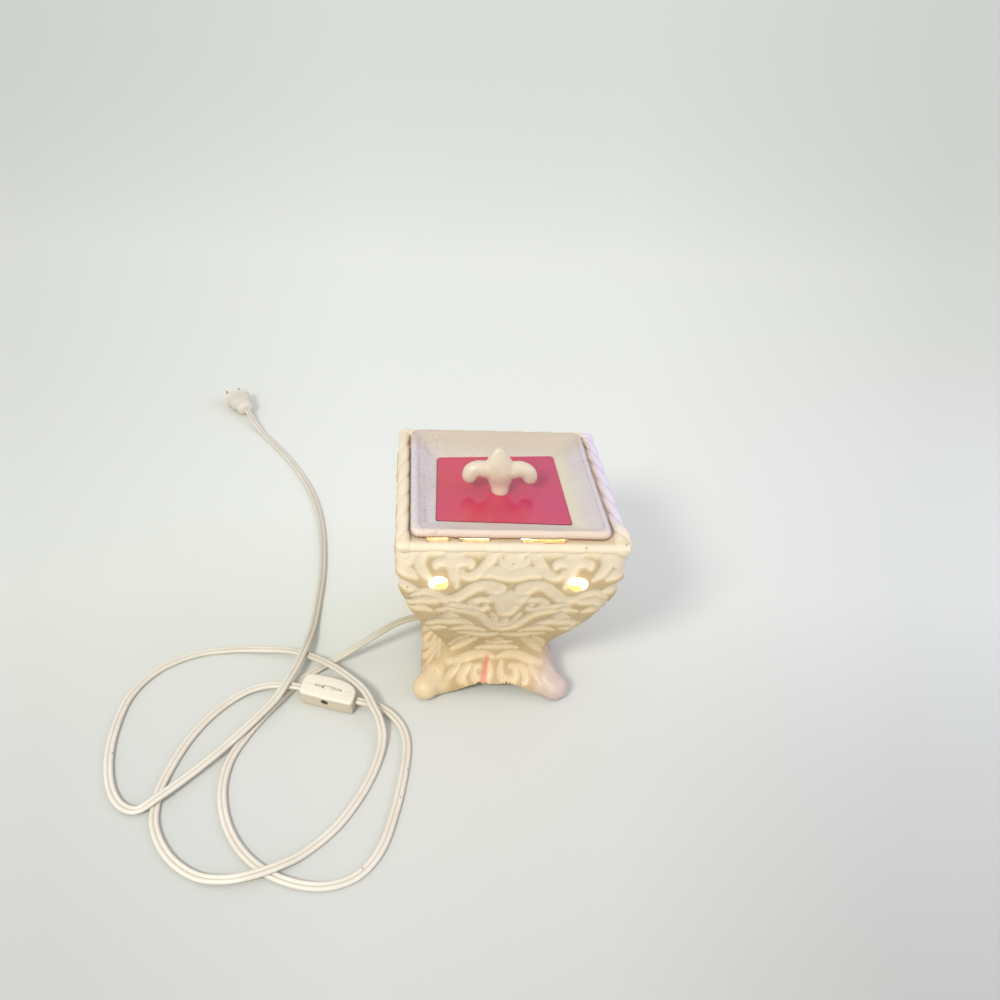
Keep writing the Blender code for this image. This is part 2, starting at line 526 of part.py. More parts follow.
def build_pads(rubber):
    """Four round pads under the feet."""
    for x, side in ((-1, "left"), (1, "right")):
        for y, end in ((-1, "front"), (1, "rear")):
            add_object(f"foot_pad_{end}_{side}",
                       turned("foot_pad", [(0, 0), (PAD_RADIUS - 0.3 * MM, 0), (PAD_RADIUS, 0.3 * MM),
                                           (PAD_RADIUS, PAD_THICK), (0, PAD_THICK)], 16),
                       rubber, place=(x * FOOT_PLACE, y * FOOT_PLACE, 0))


def build_dish(glaze, wax):
    """The lift-off dish, its pool of wax and the fleur-de-lis that stands in it."""
    frame = add_empty("dish_frame", (0, 0, LIP_Z))
    under = POOL_Z - WALL_THICK
    slope_out = DISH_HALF - RIM_FLAT
    outline = [(FLOOR_HALF - 3 * MM, POOL_CORNER, under),
               (FLOOR_HALF, POOL_CORNER + 1 * MM, under + 1 * MM),
               (POOL_HALF + 2 * MM, POOL_CORNER + 1 * MM, WAX_Z - WALL_THICK),
               (MOUTH_HALF - 1 * MM, DISH_CORNER, LIP_Z),
               (DISH_HALF - 0.8 * MM, DISH_CORNER, LIP_Z),
               (DISH_HALF, DISH_CORNER, LIP_Z + 0.8 * MM),
               (DISH_HALF, DISH_CORNER, RIM_Z - 1.2 * MM),
               (DISH_HALF - 0.4 * MM, DISH_CORNER, RIM_Z - 0.4 * MM),
               (DISH_HALF - 1.3 * MM, DISH_CORNER, RIM_Z),
               (slope_out, DISH_CORNER, RIM_Z - 0.4 * MM),
               (POOL_HALF + 2 * MM, POOL_CORNER, WAX_Z + 1.2 * MM),
               (POOL_HALF, POOL_CORNER, WAX_Z),
               (FLOOR_HALF + 1 * MM, POOL_CORNER, POOL_Z + 1.2 * MM),
               (FLOOR_HALF - 1 * MM, POOL_CORNER, POOL_Z)]
    dish = lofted("wax_dish", [(half, half, corner, height - LIP_Z) for half, corner, height in outline])
    for corner in dish.vertices:
        if max(abs(corner.co.x), abs(corner.co.y)) < POOL_HALF + 3 * MM:
            corner.co.x += POOL_SHIFT
    add_object("wax_dish", dish, glaze, frame)

    base = POOL_Z + GAP
    pool = [(FLOOR_HALF - 1.4 * MM, POOL_CORNER, base), (FLOOR_HALF + 0.6 * MM, POOL_CORNER, base + 1.4 * MM),
            (POOL_HALF - 2 * GAP, POOL_CORNER, WAX_Z)]
    melt = lofted("wax_melt", [(half, half, corner, height - LIP_Z) for half, corner, height in pool])
    melt = add_object("wax_melt", melt, wax, frame, (POOL_SHIFT, 0, 0))
    low, high = AXIS_Z * (base - LIP_Z - 5 * MM), AXIS_Z * (WAX_Z - LIP_Z + 5 * MM)
    hole = rod("stem_hole", STEM_RADIUS + 2 * GAP, FLEUR_PLACE + low, FLEUR_PLACE + high, 20)
    cut = new_group("wax_cut")
    make_cutter(add_object("stem_hole", hole, None, frame), cut)
    add_boolean(melt, cut, 'DIFFERENCE')
    build_fleur(glaze, frame, base - LIP_Z)


def leaned(mesh, start):
    """Leans a mesh a little to the left above a height."""
    for corner in mesh.vertices:
        corner.co.x += FLEUR_LEAN * max(0, corner.co.z - start)
    return mesh


def build_fleur(glaze, frame, foot):
    """A fleur-de-lis: a full middle petal on a round stem and two arms that curl down to round ends."""
    wax, top = WAX_Z - LIP_Z, WAX_Z - LIP_Z + FLEUR_HEIGHT
    petal = [(0, foot), (STEM_RADIUS - 0.8 * MM, foot), (STEM_RADIUS, foot + 0.8 * MM)]
    petal += [(PETAL_RADIUS * share, wax + FLEUR_HEIGHT * rise) for rise, share in PETAL_SHAPE] + [(0, top)]
    mesh = turned("fleur_finial", petal, 20)
    for corner in mesh.vertices:
        rise = min(1, max(0, (corner.co.z - wax) / (7 * MM)))
        corner.co.y *= 1 + (FLEUR_DEPTH - 1) * rise
    fleur = add_object("fleur_finial", leaned(mesh, wax), glaze, frame, FLEUR_PLACE)
    arms = new_group("fleur_arms")
    for side in (-1, 1):
        rings = []
        for number, swell in enumerate(ARM_SWELL):
            angle = math.radians(ARM_START - ARM_SWEEP * number / (len(ARM_SWELL) - 1))
            radius = ARM_RADIUS * swell
            outward = Vector((side * math.cos(angle), 0, math.sin(angle)))
            centre = Vector((side * ARM_PLACE, 0, wax + ARM_HEIGHT)) + ARM_CURL * outward
            rings.append([centre + radius * (outward * math.cos(turn) + AXIS_Y * math.sin(turn))
                          for turn in (math.tau * step / 12 for step in range(12))])
        name = "arm_left" if side < 0 else "arm_right"
        arm = leaned(mesh_from(name, skin(bmesh.new(), rings)), wax)
        make_cutter(add_object(name, arm, None, frame, FLEUR_PLACE), arms)
    add_boolean(fleur, arms, 'UNION')


def thread_profile(radius, bottom, turns=THREAD_TURNS):
    """Crests and roots of a rounded thread, drawn as rings, from the bottom up."""
    return [(radius - (THREAD_DEPTH if step % 2 else 0), bottom + THREAD_PITCH * step / 2)
            for step in range(2 * turns + 1)]


def build_socket(phenolic, brass, steel, fibre):
    """The lamp socket with its brass shell and contact, held by a nipple, a washer and a nut."""
    frame = add_empty("socket_frame", (0, 0, SOCKET_Z))
    hole = NIPPLE_RADIUS + GAP
    body = add_object("socket_body", turned("socket_body", [
        (hole, 0), (SOCKET_BASE, 0), (SOCKET_BASE, SOCKET_BASE_THICK - 1 * MM),
        (SOCKET_BASE - 1 * MM, SOCKET_BASE_THICK), (SOCKET_RADIUS, SOCKET_BASE_THICK),
        (SOCKET_RADIUS, SOCKET_HEIGHT - 1.5 * MM), (SOCKET_RADIUS - 1.5 * MM, SOCKET_HEIGHT),
        (SOCKET_BORE, SOCKET_HEIGHT), (SOCKET_BORE, SOCKET_WEB_Z + SOCKET_WEB),
        (0, SOCKET_WEB_Z + SOCKET_WEB), (0, SOCKET_WEB_Z), (hole, SOCKET_WEB_Z)], 24), phenolic, frame)
    cut = new_group("terminal_holes")
    for side, end in ((-1, "front"), (1, "rear")):
        seat = AXIS_Y * side * (SOCKET_RADIUS + GAP) + AXIS_Z * TERMINAL_Z
        deep = seat - AXIS_Y * side * (TERMINAL_SHANK_LENGTH + 2 * GAP)
        hole_mesh = rod("terminal_hole", TERMINAL_SHANK + GAP, deep, seat + AXIS_Y * side * 5 * MM, 12)
        make_cutter(add_object(f"terminal_hole_{end}", hole_mesh, None, frame), cut)
        screw = add_object(f"terminal_screw_{end}", turned("terminal_screw", [
            (0, -TERMINAL_SHANK_LENGTH), (TERMINAL_SHANK, -TERMINAL_SHANK_LENGTH), (TERMINAL_SHANK, 0),
            (TERMINAL_HEAD, 0), (TERMINAL_HEAD, TERMINAL_HEAD_THICK * 0.6),
            (TERMINAL_HEAD * 0.6, TERMINAL_HEAD_THICK), (0, TERMINAL_HEAD_THICK)], 12), steel, frame, seat)
        screw.rotation_euler = (-side * math.radians(90), 0, 0)
    add_boolean(body, cut, 'DIFFERENCE')

    shell_low = SOCKET_WEB_Z + SOCKET_WEB + GAP
    inner = thread_profile(THREAD_RADIUS + GAP, LAMP_Z - SOCKET_Z + CAP_FOOT)
    outer = SOCKET_BORE - GAP
    eye, eye_top = CONTACT_RADIUS + 1 * MM, shell_low + CAP_WALL
    shell = [(eye, shell_low), (outer, shell_low), (outer, inner[-1][1])] + inner[::-1]
    shell += [(inner[0][0], eye_top), (eye, eye_top)]
    add_object("socket_shell", turned("socket_shell", shell, 16), brass, frame)
    button = turned("socket_contact", [(0, 0), (CONTACT_RADIUS, 0), (CONTACT_RADIUS, CONTACT_HEIGHT * 0.5),
                                       (CONTACT_RADIUS * 0.5, CONTACT_HEIGHT), (0, CONTACT_HEIGHT)], 12)
    add_object("socket_contact", button, brass, frame, (0, 0, CONTACT_Z - SOCKET_Z))
    tube = [(NIPPLE_BORE, -NIPPLE_LENGTH), (NIPPLE_RADIUS, -NIPPLE_LENGTH), (NIPPLE_RADIUS, 0),
            (NIPPLE_BORE, 0)]
    nipple = turned("threaded_nipple", tube, 20)
    add_object("threaded_nipple", nipple, steel, frame, (0, 0, SOCKET_WEB_Z - GAP))
    washer_z = BODY_FLOOR_Z - GAP - WASHER_THICK
    add_object("nipple_washer", turned("nipple_washer", [
        (hole, 0), (WASHER_RADIUS, 0), (WASHER_RADIUS, WASHER_THICK), (hole, WASHER_THICK)], 20),
        fibre, place=(0, 0, washer_z))
    nut = rod("nipple_nut", NUT_ACROSS_FLATS / math.sqrt(3), (0, 0, 0), (0, 0, NUT_THICK), 6)
    nut_piece = add_object("nipple_nut", nut, steel, place=(0, 0, washer_z - GAP - NUT_THICK))
    bore = new_group("nut_bore")
    nut_hole = rod("nut_hole", hole, (0, 0, -NUT_THICK), (0, 0, 2 * NUT_THICK))
    make_cutter(add_object("nut_hole", nut_hole, None, nut_piece), bore)
    add_boolean(nut_piece, bore, 'DIFFERENCE')


def globe_profile(inset):
    """The lamp's glass from the neck's foot to the crown, drawn in by an inset."""
    join = math.radians(-68)
    side = NECK_RADIUS - inset
    neck = [(side, CAP_FOOT + 5.4 * MM), (side, CAP_LENGTH + 1 * MM),
            (side + 1.4 * MM, CAP_LENGTH + 3.2 * MM), (side + 3 * MM, CAP_LENGTH + 6.2 * MM)]
    radius = GLOBE_RADIUS - inset
    count = 8
    arc = [(radius * math.cos(angle), GLOBE_CENTRE + radius * math.sin(angle))
           for angle in (join + (math.radians(90) - join) * step / count for step in range(count))]
    return neck + arc + [(0, GLOBE_CENTRE + radius)]


def build_lamp(glass, brass, black, solder, wire, hot):
    """The globe lamp: cap, insulator, tip, glass, stem, its two wires and the filament."""
    frame = add_empty("lamp_axis", (0, 0, LAMP_Z))
    inside = NECK_RADIUS + GAP
    tip = [(0, 0), (CONTACT_RADIUS * 0.6, 0.2 * MM), (CONTACT_RADIUS, TIP_HEIGHT * 0.6),
           (CONTACT_RADIUS, TIP_HEIGHT - GAP), (0, TIP_HEIGHT - GAP)]
    add_object("lamp_tip", turned("lamp_tip", tip, 12), solder, frame)
    plug_radius, plug_top = inside - 2 * GAP, CAP_FOOT + 1.5 * MM
    insulator = [(0, TIP_HEIGHT), (CONTACT_RADIUS + 0.4 * MM, TIP_HEIGHT), (plug_radius, CAP_FOOT),
                 (plug_radius, plug_top), (0, plug_top)]
    add_object("lamp_insulator", turned("lamp_insulator", insulator, 16), black, frame)
    cap = [(inside, CAP_FOOT)] + thread_profile(THREAD_RADIUS, CAP_FOOT)
    cap += [(THREAD_RADIUS, CAP_LENGTH), (THREAD_RADIUS - CAP_WALL, CAP_LENGTH + CAP_WALL),
            (inside, CAP_LENGTH + CAP_WALL)]
    add_object("lamp_cap", turned("lamp_cap", cap, 16), brass, frame)
    globe = turned("lamp_glass", globe_profile(0) + globe_profile(GLASS_WALL)[::-1], 16)
    add_object("lamp_glass", globe, glass, frame)
    stem = [(0, STEM_START), (STEM_FOOT, STEM_START), (STEM_FOOT - 0.4 * MM, STEM_START + 3 * MM),
            (STEM_TOP, STEM_START + 9 * MM), (STEM_TOP, STEM_END - 0.8 * MM), (STEM_TOP * 0.5, STEM_END),
            (0, STEM_END)]
    add_object("lamp_stem", turned("lamp_stem", stem, 14), glass, frame)
    for side, end in ((-1, "left"), (1, "right")):
        route = [(side * 1.0 * MM, 0, STEM_END + GAP + LAMP_WIRE * 0.5),
                 (side * 2.6 * MM, 0, STEM_END + 3 * MM),
                 (side * (FILAMENT_SPAN / 2 - 1 * MM), 0, FILAMENT_Z - 3 * MM),
                 (side * FILAMENT_SPAN / 2, 0, FILAMENT_Z - FILAMENT_RADIUS - GAP)]
        cord(f"lamp_wire_{end}", smooth_path(route, 4 * MM), LAMP_WIRE, 0, wire).parent = frame
    rise = FILAMENT_Z + 1.4 * MM
    arch = [(-FILAMENT_SPAN / 2, 0, FILAMENT_Z), (-FILAMENT_SPAN / 4, 0, rise), (FILAMENT_SPAN / 4, 0, rise),
            (FILAMENT_SPAN / 2, 0, FILAMENT_Z)]
    cord("lamp_filament", smooth_path(arch, 3 * MM), FILAMENT_RADIUS, 0, hot).parent = frame


def build_bush(nylon, core):
    """The bush that grips the lead in the left wall, and the two cores from it to the socket's screws."""
    seat = body_half(BUSH_Z)
    inner = -(BODY_WALL + GAP)
    tail, nose = inner - BUSH_BARB_LENGTH, BUSH_HEAD_THICK + BUSH_NOSE_LENGTH
    profile = [(0, tail), (BUSH_SHANK - 0.5 * MM, tail), (BUSH_BARB, inner - GAP), (BUSH_SHANK, inner - GAP),
               (BUSH_SHANK, 0), (BUSH_HEAD, 0), (BUSH_HEAD, BUSH_HEAD_THICK - 0.6 * MM),
               (BUSH_HEAD - 0.6 * MM, BUSH_HEAD_THICK), (BUSH_NOSE + 0.8 * MM, BUSH_HEAD_THICK),
               (BUSH_NOSE, nose), (0, nose)]
    bush = add_object("cord_bush", turned("cord_bush", profile, 16), nylon, place=(-seat, 0, BUSH_Z))
    bush.rotation_euler = (0, -math.radians(90), 0)
    start = -seat + BODY_WALL + 2 * GAP + BUSH_BARB_LENGTH + GAP
    screw_x = -(TERMINAL_HEAD + GAP)
    screw_y = SOCKET_RADIUS + GAP + TERMINAL_HEAD_THICK / 2
    screw_z = SOCKET_Z + TERMINAL_Z
    for side, end in ((-1, "front"), (1, "rear")):
        route = [(start, side * 1.6 * MM, BUSH_Z), (start + 3 * MM, side * 2.2 * MM, BUSH_Z),
                 (start + 9 * MM, side * (screw_y - 4 * MM), (BUSH_Z + screw_z) / 2),
                 (screw_x - 7 * MM, side * screw_y, screw_z), (screw_x, side * screw_y, screw_z)]
        cord(f"core_{end}", smooth_path(route, 5 * MM), CORE_RADIUS, 0, core)


def lead_end(face, turn, height):
    """The end of a lead at a flat face, and a point straight out from it, so that the two meet square."""
    outward = mathutils.Matrix.Rotation(turn, 3, 'Z') @ AXIS_X
    meeting = Vector((*face, height)) + outward * GAP
    return [meeting, meeting + outward * LEAD_RUN_OUT]


def build_leads(vinyl):
    """The two stretches of flat lead, lying on the table."""
    half_turn = math.radians(180)
    nose = body_half(BUSH_Z) + BUSH_HEAD_THICK + BUSH_NOSE_LENGTH
    switch = Vector((*SWITCH_PLACE, 0))
    reach = mathutils.Matrix.Rotation(SWITCH_TURN, 3, 'Z') @ AXIS_X * SWITCH_LENGTH / 2
    plug = Vector((*PLUG_PLACE, 0)) - mathutils.Matrix.Rotation(PLUG_TURN, 3, 'Z') @ AXIS_X * PLUG_LENGTH
    from_bush = lead_end((-nose, 0), half_turn, BUSH_Z)
    into_switch = lead_end((switch + reach).xy, SWITCH_TURN, SWITCH_INLET_Z)
    from_switch = lead_end((switch - reach).xy, SWITCH_TURN + half_turn, SWITCH_INLET_Z)
    into_plug = lead_end(plug.xy, PLUG_TURN + half_turn, PLUG_HEIGHT / 2)
    stretches = {"lead_warmer_to_switch": (from_bush, ROUTE_TO_SWITCH, into_switch),
                 "lead_switch_to_plug": (from_switch, ROUTE_TO_PLUG, into_plug)}
    for name, (start, route, end) in stretches.items():
        path = start + [Vector(point) * MM for point in route] + end[::-1]
        cord(name, smooth_path(path, LEAD_STEP), LEAD_THICK / 2, (LEAD_WIDTH - LEAD_THICK) / 2, vinyl)


def switch_outline(share):
    """The switch seen from above: full width at the shoulders, narrower at all ends but the front right."""
    outline = []
    for (x, y), end in SWITCH_ENDS.items():
        length, full, end = SWITCH_LENGTH / 2, SWITCH_WIDTH / 2 * share, end * share
        bend = end + (full - end) * 0.62
        quarter = [(length, 0.7 * end), (length - 0.6 * MM, end), (length - 4 * MM, bend),
                   (SWITCH_SHOULDER, full)]
        outline += [(x * along, y * out) for along, out in (quarter if x == y else quarter[::-1])]
    return outline


def build_switch(shell, brass, steel):
    """The switch on the lead: two halves on one screw, which is also the axle of the thumbwheel."""
    frame = add_empty("switch_frame", (*SWITCH_PLACE, 0), SWITCH_TURN)
    levels = [(GAP, SWITCH_KEEL - 0.06), (SWITCH_EDGE, SWITCH_KEEL), (SWITCH_HEIGHT - SWITCH_EDGE, 1 - 0.01),
              (SWITCH_HEIGHT, 0.93)]
    axle = AXIS_Z * WHEEL_AXLE_Z
    half_wheel = WHEEL_WIDTH / 2
    bolt_end = SWITCH_WIDTH / 2 * SWITCH_KEEL
    recess = SWITCH_WIDTH / 2 - SWITCH_RECESS
    half_slot = half_wheel + GAP
    strip = WHEEL_RADIUS + 1.2 * MM
    half_strip = Vector((0, STRIP_THICK / 2, STRIP_HEIGHT / 2))
    reach = SWITCH_LENGTH
    across, outside = AXIS_Y * half_slot, axle - AXIS_Y * reach / 2
    for side, name in ((-1, "switch_half_front"), (1, "switch_half_rear")):
        rings = [[(x, y, height) for x, y in switch_outline(share)] for height, share in levels]
        half = add_object(name, mesh_from(name, skin(bmesh.new(), rings)), shell, frame)
        cut = new_group(f"{name}_cut")

        def cutter(label, mesh):
            make_cutter(add_object(f"{name}_{label}", mesh, None, frame), cut)

        low, high = sorted((side * -reach, side * GAP / 2))
        cutter("other", box("other", (-reach, low, -reach), (reach, high, reach)))
        cutter("well", rod("well", WHEEL_RADIUS + 2 * GAP, axle - across, axle + across, 24))
        cutter("slot", box("slot", (-SLOT_LENGTH / 2, -half_slot, WHEEL_AXLE_Z + WHEEL_RADIUS * 0.55),
                           (SLOT_LENGTH / 2, half_slot, SWITCH_HEIGHT + 2 * MM)))
        cutter("bolt", rod("bolt", SWITCH_SCREW + GAP, outside, axle + AXIS_Y * bolt_end, 14))
        if side < 0:
            cutter("head", rod("head", SWITCH_SCREW_HEAD + GAP, outside, axle - AXIS_Y * recess, 16))
        for end in (-1, 1):
            low, high = sorted((end * strip, end * (strip + STRIP_LENGTH + 2 * GAP)))
            room = half_strip + Vector((0, GAP, GAP))
            cutter(f"pocket_{end}", box("pocket", axle + AXIS_X * low - room, axle + AXIS_X * high + room))
        add_boolean(half, cut, 'DIFFERENCE')

    outline = []
    for tooth in range(2 * WHEEL_TEETH):
        radius = WHEEL_RADIUS - (WHEEL_TOOTH if tooth % 2 else 0)
        angle = math.tau * tooth / (2 * WHEEL_TEETH)
        outline.append((radius * math.cos(angle), radius * math.sin(angle)))
    toothed = extruded("switch_thumbwheel", outline, AXIS_Y, -half_wheel, half_wheel)
    wheel = add_object("switch_thumbwheel", toothed, shell, frame, axle)
    bore = new_group("wheel_bore")
    hole = rod("wheel_hole", SWITCH_SCREW + WHEEL_RUNNING, -AXIS_Y * WHEEL_WIDTH, AXIS_Y * WHEEL_WIDTH, 24)
    make_cutter(add_object("wheel_hole", hole, None, wheel), bore)
    add_boolean(wheel, bore, 'DIFFERENCE')
    shank = bolt_end + recess - 3 * GAP
    screw = add_object("switch_screw", turned("switch_screw", [
        (0, -shank), (SWITCH_SCREW, -shank), (SWITCH_SCREW, 0), (SWITCH_SCREW_HEAD, 0),
        (SWITCH_SCREW_HEAD, SWITCH_SCREW_HEAD_THICK * 0.6),
        (SWITCH_SCREW_HEAD * 0.7, SWITCH_SCREW_HEAD_THICK), (0, SWITCH_SCREW_HEAD_THICK)], 16), steel, frame,
        axle - AXIS_Y * (recess + GAP))
    screw.rotation_euler = (math.radians(90), 0, 0)
    for end, side in ((-1, "left"), (1, "right")):
        low, high = sorted((end * (strip + GAP), end * (strip + GAP + STRIP_LENGTH)))
        leaf = box("switch_contact", axle + AXIS_X * low - half_strip, axle + AXIS_X * high + half_strip)
        add_object(f"switch_contact_{side}", leaf, brass, frame)


def build_plug(vinyl, brass):
    """The moulded plug, lying on the table with its blades away from the lead."""
    frame = add_empty("plug_frame", (*PLUG_PLACE, PLUG_HEIGHT / 2), PLUG_TURN)
    half, tall = PLUG_WIDTH / 2, PLUG_HEIGHT / 2
    neck, neck_tall = NECK_WIDTH / 2, NECK_HEIGHT / 2
    sections = [(0, half - 0.6 * MM, tall - 0.6 * MM, 5), (0.6 * MM, half, tall, 5.5),
                (FLANGE_THICK - 0.6 * MM, half, tall, 5.5),
                (FLANGE_THICK, half - 0.8 * MM, tall - 0.8 * MM, 5),
                (FLANGE_THICK + 0.6 * MM, half - 1.8 * MM, tall - 1.2 * MM, 5),
                (13 * MM, half - 2.2 * MM, tall - 1.5 * MM, 5.5),
                (17.5 * MM, neck + 0.4 * MM, neck_tall + 0.3 * MM, 6.4), (18.5 * MM, neck, neck_tall, 6.8),
                (PLUG_LENGTH - 2 * MM, neck - 0.9 * MM, neck_tall - 0.9 * MM, 6),
                (PLUG_LENGTH - 0.5 * MM, neck - 2 * MM, neck_tall - 2 * MM, 5),
                (PLUG_LENGTH, neck - 3 * MM, neck_tall - 3 * MM, 4)]
    rings = [[(-back, x, z) for x, z in rounded_rectangle(wide, high, corner * MM, 3)]
             for back, wide, high, corner in sections]
    body = add_object("plug_body", mesh_from("plug_body", skin(bmesh.new(), rings)), vinyl, frame)
    roots = new_group("blade_roots")
    for side, (name, width) in zip((-1, 1), BLADE_WIDTHS.items()):
        place = side * BLADE_SPACING / 2
        low = Vector((-BLADE_ROOT, place - BLADE_THICK / 2, -width / 2))
        high = Vector((BLADE_LENGTH, place + BLADE_THICK / 2, width / 2))
        blade = add_object(name, box(name, low, high, GAP, 1), brass, frame)
        room = Vector((GAP, GAP, GAP))
        make_cutter(add_object(f"{name}_root", box("root", low - room, high + room), None, frame), roots)
        holes = new_group(f"{name}_hole")
        eye = Vector((BLADE_LENGTH - BLADE_HOLE_FROM_TIP, place, 0))
        eye_mesh = rod("eye", BLADE_HOLE, eye - AXIS_Y * 3 * MM, eye + AXIS_Y * 3 * MM, 12)
        make_cutter(add_object(f"{name}_eye", eye_mesh, None, frame), holes)
        add_boolean(blade, holes, 'DIFFERENCE')
    add_boolean(body, roots, 'DIFFERENCE')


def main():
    """Builds the warmer from the table up."""
    clear_scene()
    glaze = finish_of("ivory_glaze", (0.83, 0.76, 0.62), 0.3)
    dish_glaze = finish_of("speckled_glaze", (0.78, 0.73, 0.7), 0.3)
    wax = finish_of("pink_wax", (0.72, 0.09, 0.18), 0.22)
    rubber = finish_of("pad_rubber", (0.55, 0.52, 0.46), 0.8)
    phenolic = finish_of("socket_phenolic", (0.02, 0.02, 0.02), 0.4)
    brass = finish_of("brass", (0.75, 0.52, 0.22), 0.3, 1.0)
    steel = finish_of("zinc_steel", (0.6, 0.6, 0.62), 0.35, 1.0)
    fibre = finish_of("fibre_washer", (0.35, 0.17, 0.09), 0.75)
    glass = finish_of("clear_glass", (1, 1, 1), 0.03, 0, 1)
    black_glass = finish_of("cap_insulator", (0.02, 0.02, 0.025), 0.2)
    hot = finish_of("filament", (1.0, 0.62, 0.25), 0.5, 0, 0, 8)
    vinyl = finish_of("ivory_vinyl", (0.84, 0.79, 0.68), 0.42)
    housing = finish_of("ivory_plastic", (0.85, 0.8, 0.66), 0.38)
    nylon = finish_of("white_nylon", (0.84, 0.82, 0.76), 0.45)
    build_body(glaze)
    build_pads(rubber)
    build_socket(phenolic, brass, steel, fibre)
    build_lamp(glass, brass, black_glass, steel, steel, hot)
    build_bush(nylon, vinyl)
    build_dish(dish_glaze, wax)
    build_switch(housing, brass, steel)
    build_plug(vinyl, brass)
    build_leads(vinyl)


main()
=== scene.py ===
import math

import bmesh
import bpy
import numpy as np
from mathutils import Matrix, Vector
from mathutils import noise as hills


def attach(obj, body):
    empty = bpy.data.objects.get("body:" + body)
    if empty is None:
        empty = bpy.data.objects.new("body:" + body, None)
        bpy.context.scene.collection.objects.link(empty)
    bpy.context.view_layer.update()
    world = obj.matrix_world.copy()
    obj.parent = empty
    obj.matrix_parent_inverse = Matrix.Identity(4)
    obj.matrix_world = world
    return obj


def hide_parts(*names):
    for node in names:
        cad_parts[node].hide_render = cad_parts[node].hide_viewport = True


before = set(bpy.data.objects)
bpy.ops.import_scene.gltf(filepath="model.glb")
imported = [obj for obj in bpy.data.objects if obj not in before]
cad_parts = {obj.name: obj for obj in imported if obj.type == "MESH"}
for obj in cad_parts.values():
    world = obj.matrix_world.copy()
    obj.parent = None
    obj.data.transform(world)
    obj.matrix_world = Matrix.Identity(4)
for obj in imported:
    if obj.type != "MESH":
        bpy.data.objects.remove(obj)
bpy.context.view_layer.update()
MM = 0.001


# The body
# One slip-cast earthenware shell: four bellied walls with a damask carved into them, drawn in to a
# waist and out again to four ball feet, under a cream satin glaze that pools tan in the hollows, the tan
# deepened there by painted shade; painted lavender light tints the right side of its rim, and a painted
# glow rings its light holes.

WALL_PROFILE = [(1.3, 44.0), (6, 46.0), (11, 45.4), (16, 41.4), (22, 37.4), (29, 35.6), (37, 37.0),
                (48, 42.2), (65, 50.8), (84, 58.8), (101, 64.3), (118, 67.0), (129, 67.1), (134.5, 66.7),
                (138.6, 64.4)]
BODY_TOP, CORNER_ROUND, WALL_THICK = 138.6, 9.0, 5.5
ARCH_FLAT, ARCH_END, ARCH_FOOT, ARCH_HEIGHT = 9.0, 36.5, 1.4, 10.0
FOOT_PLACE, FOOT_HEIGHT, FOOT_ROUND, FOOT_BLEND = 43.5, 7.7, 8.6, 1.8
FLOOR_UNDER, FLOOR_TOP = 17.0, 22.0
MOUTH_HALF, LEDGE_THICK = 54.1, 4.0
LIGHT_PLACES, LIGHT_HEIGHT, LIGHT_ROUND, LIGHT_CUT = (-41.8, 38.6), 114.5, 5.6, (45, 75)
VENTS, VENT_PLACE, VENT_HALF, VENT_DEEP = ((-43, 12), (-22, 17), (17, 25)), 56.5, 4.5, 1.5
BUSH_HEIGHT, BUSH_HOLE = 29.0, 5.2
PLAIN_HALF = 50.0
RELIEF, GRAIN, FINE_GRAIN, WAX_THICK, HOLE_SINK = 1.7, 0.3, 0.1, 0.35, 0.7
BROW, HOLE_EDGE, PAINTED_GLOW_REACH = 0.35, 1.1, 2.2
SPLAY_LEFT, SPLAY_FRONT = 2.8, 3.0
PLAIN_RELIEF, KNOB_RELIEF = 0.55, 0.85
SHARP_ANGLE = math.radians(50)
AROUND, ROWS = 132, 148

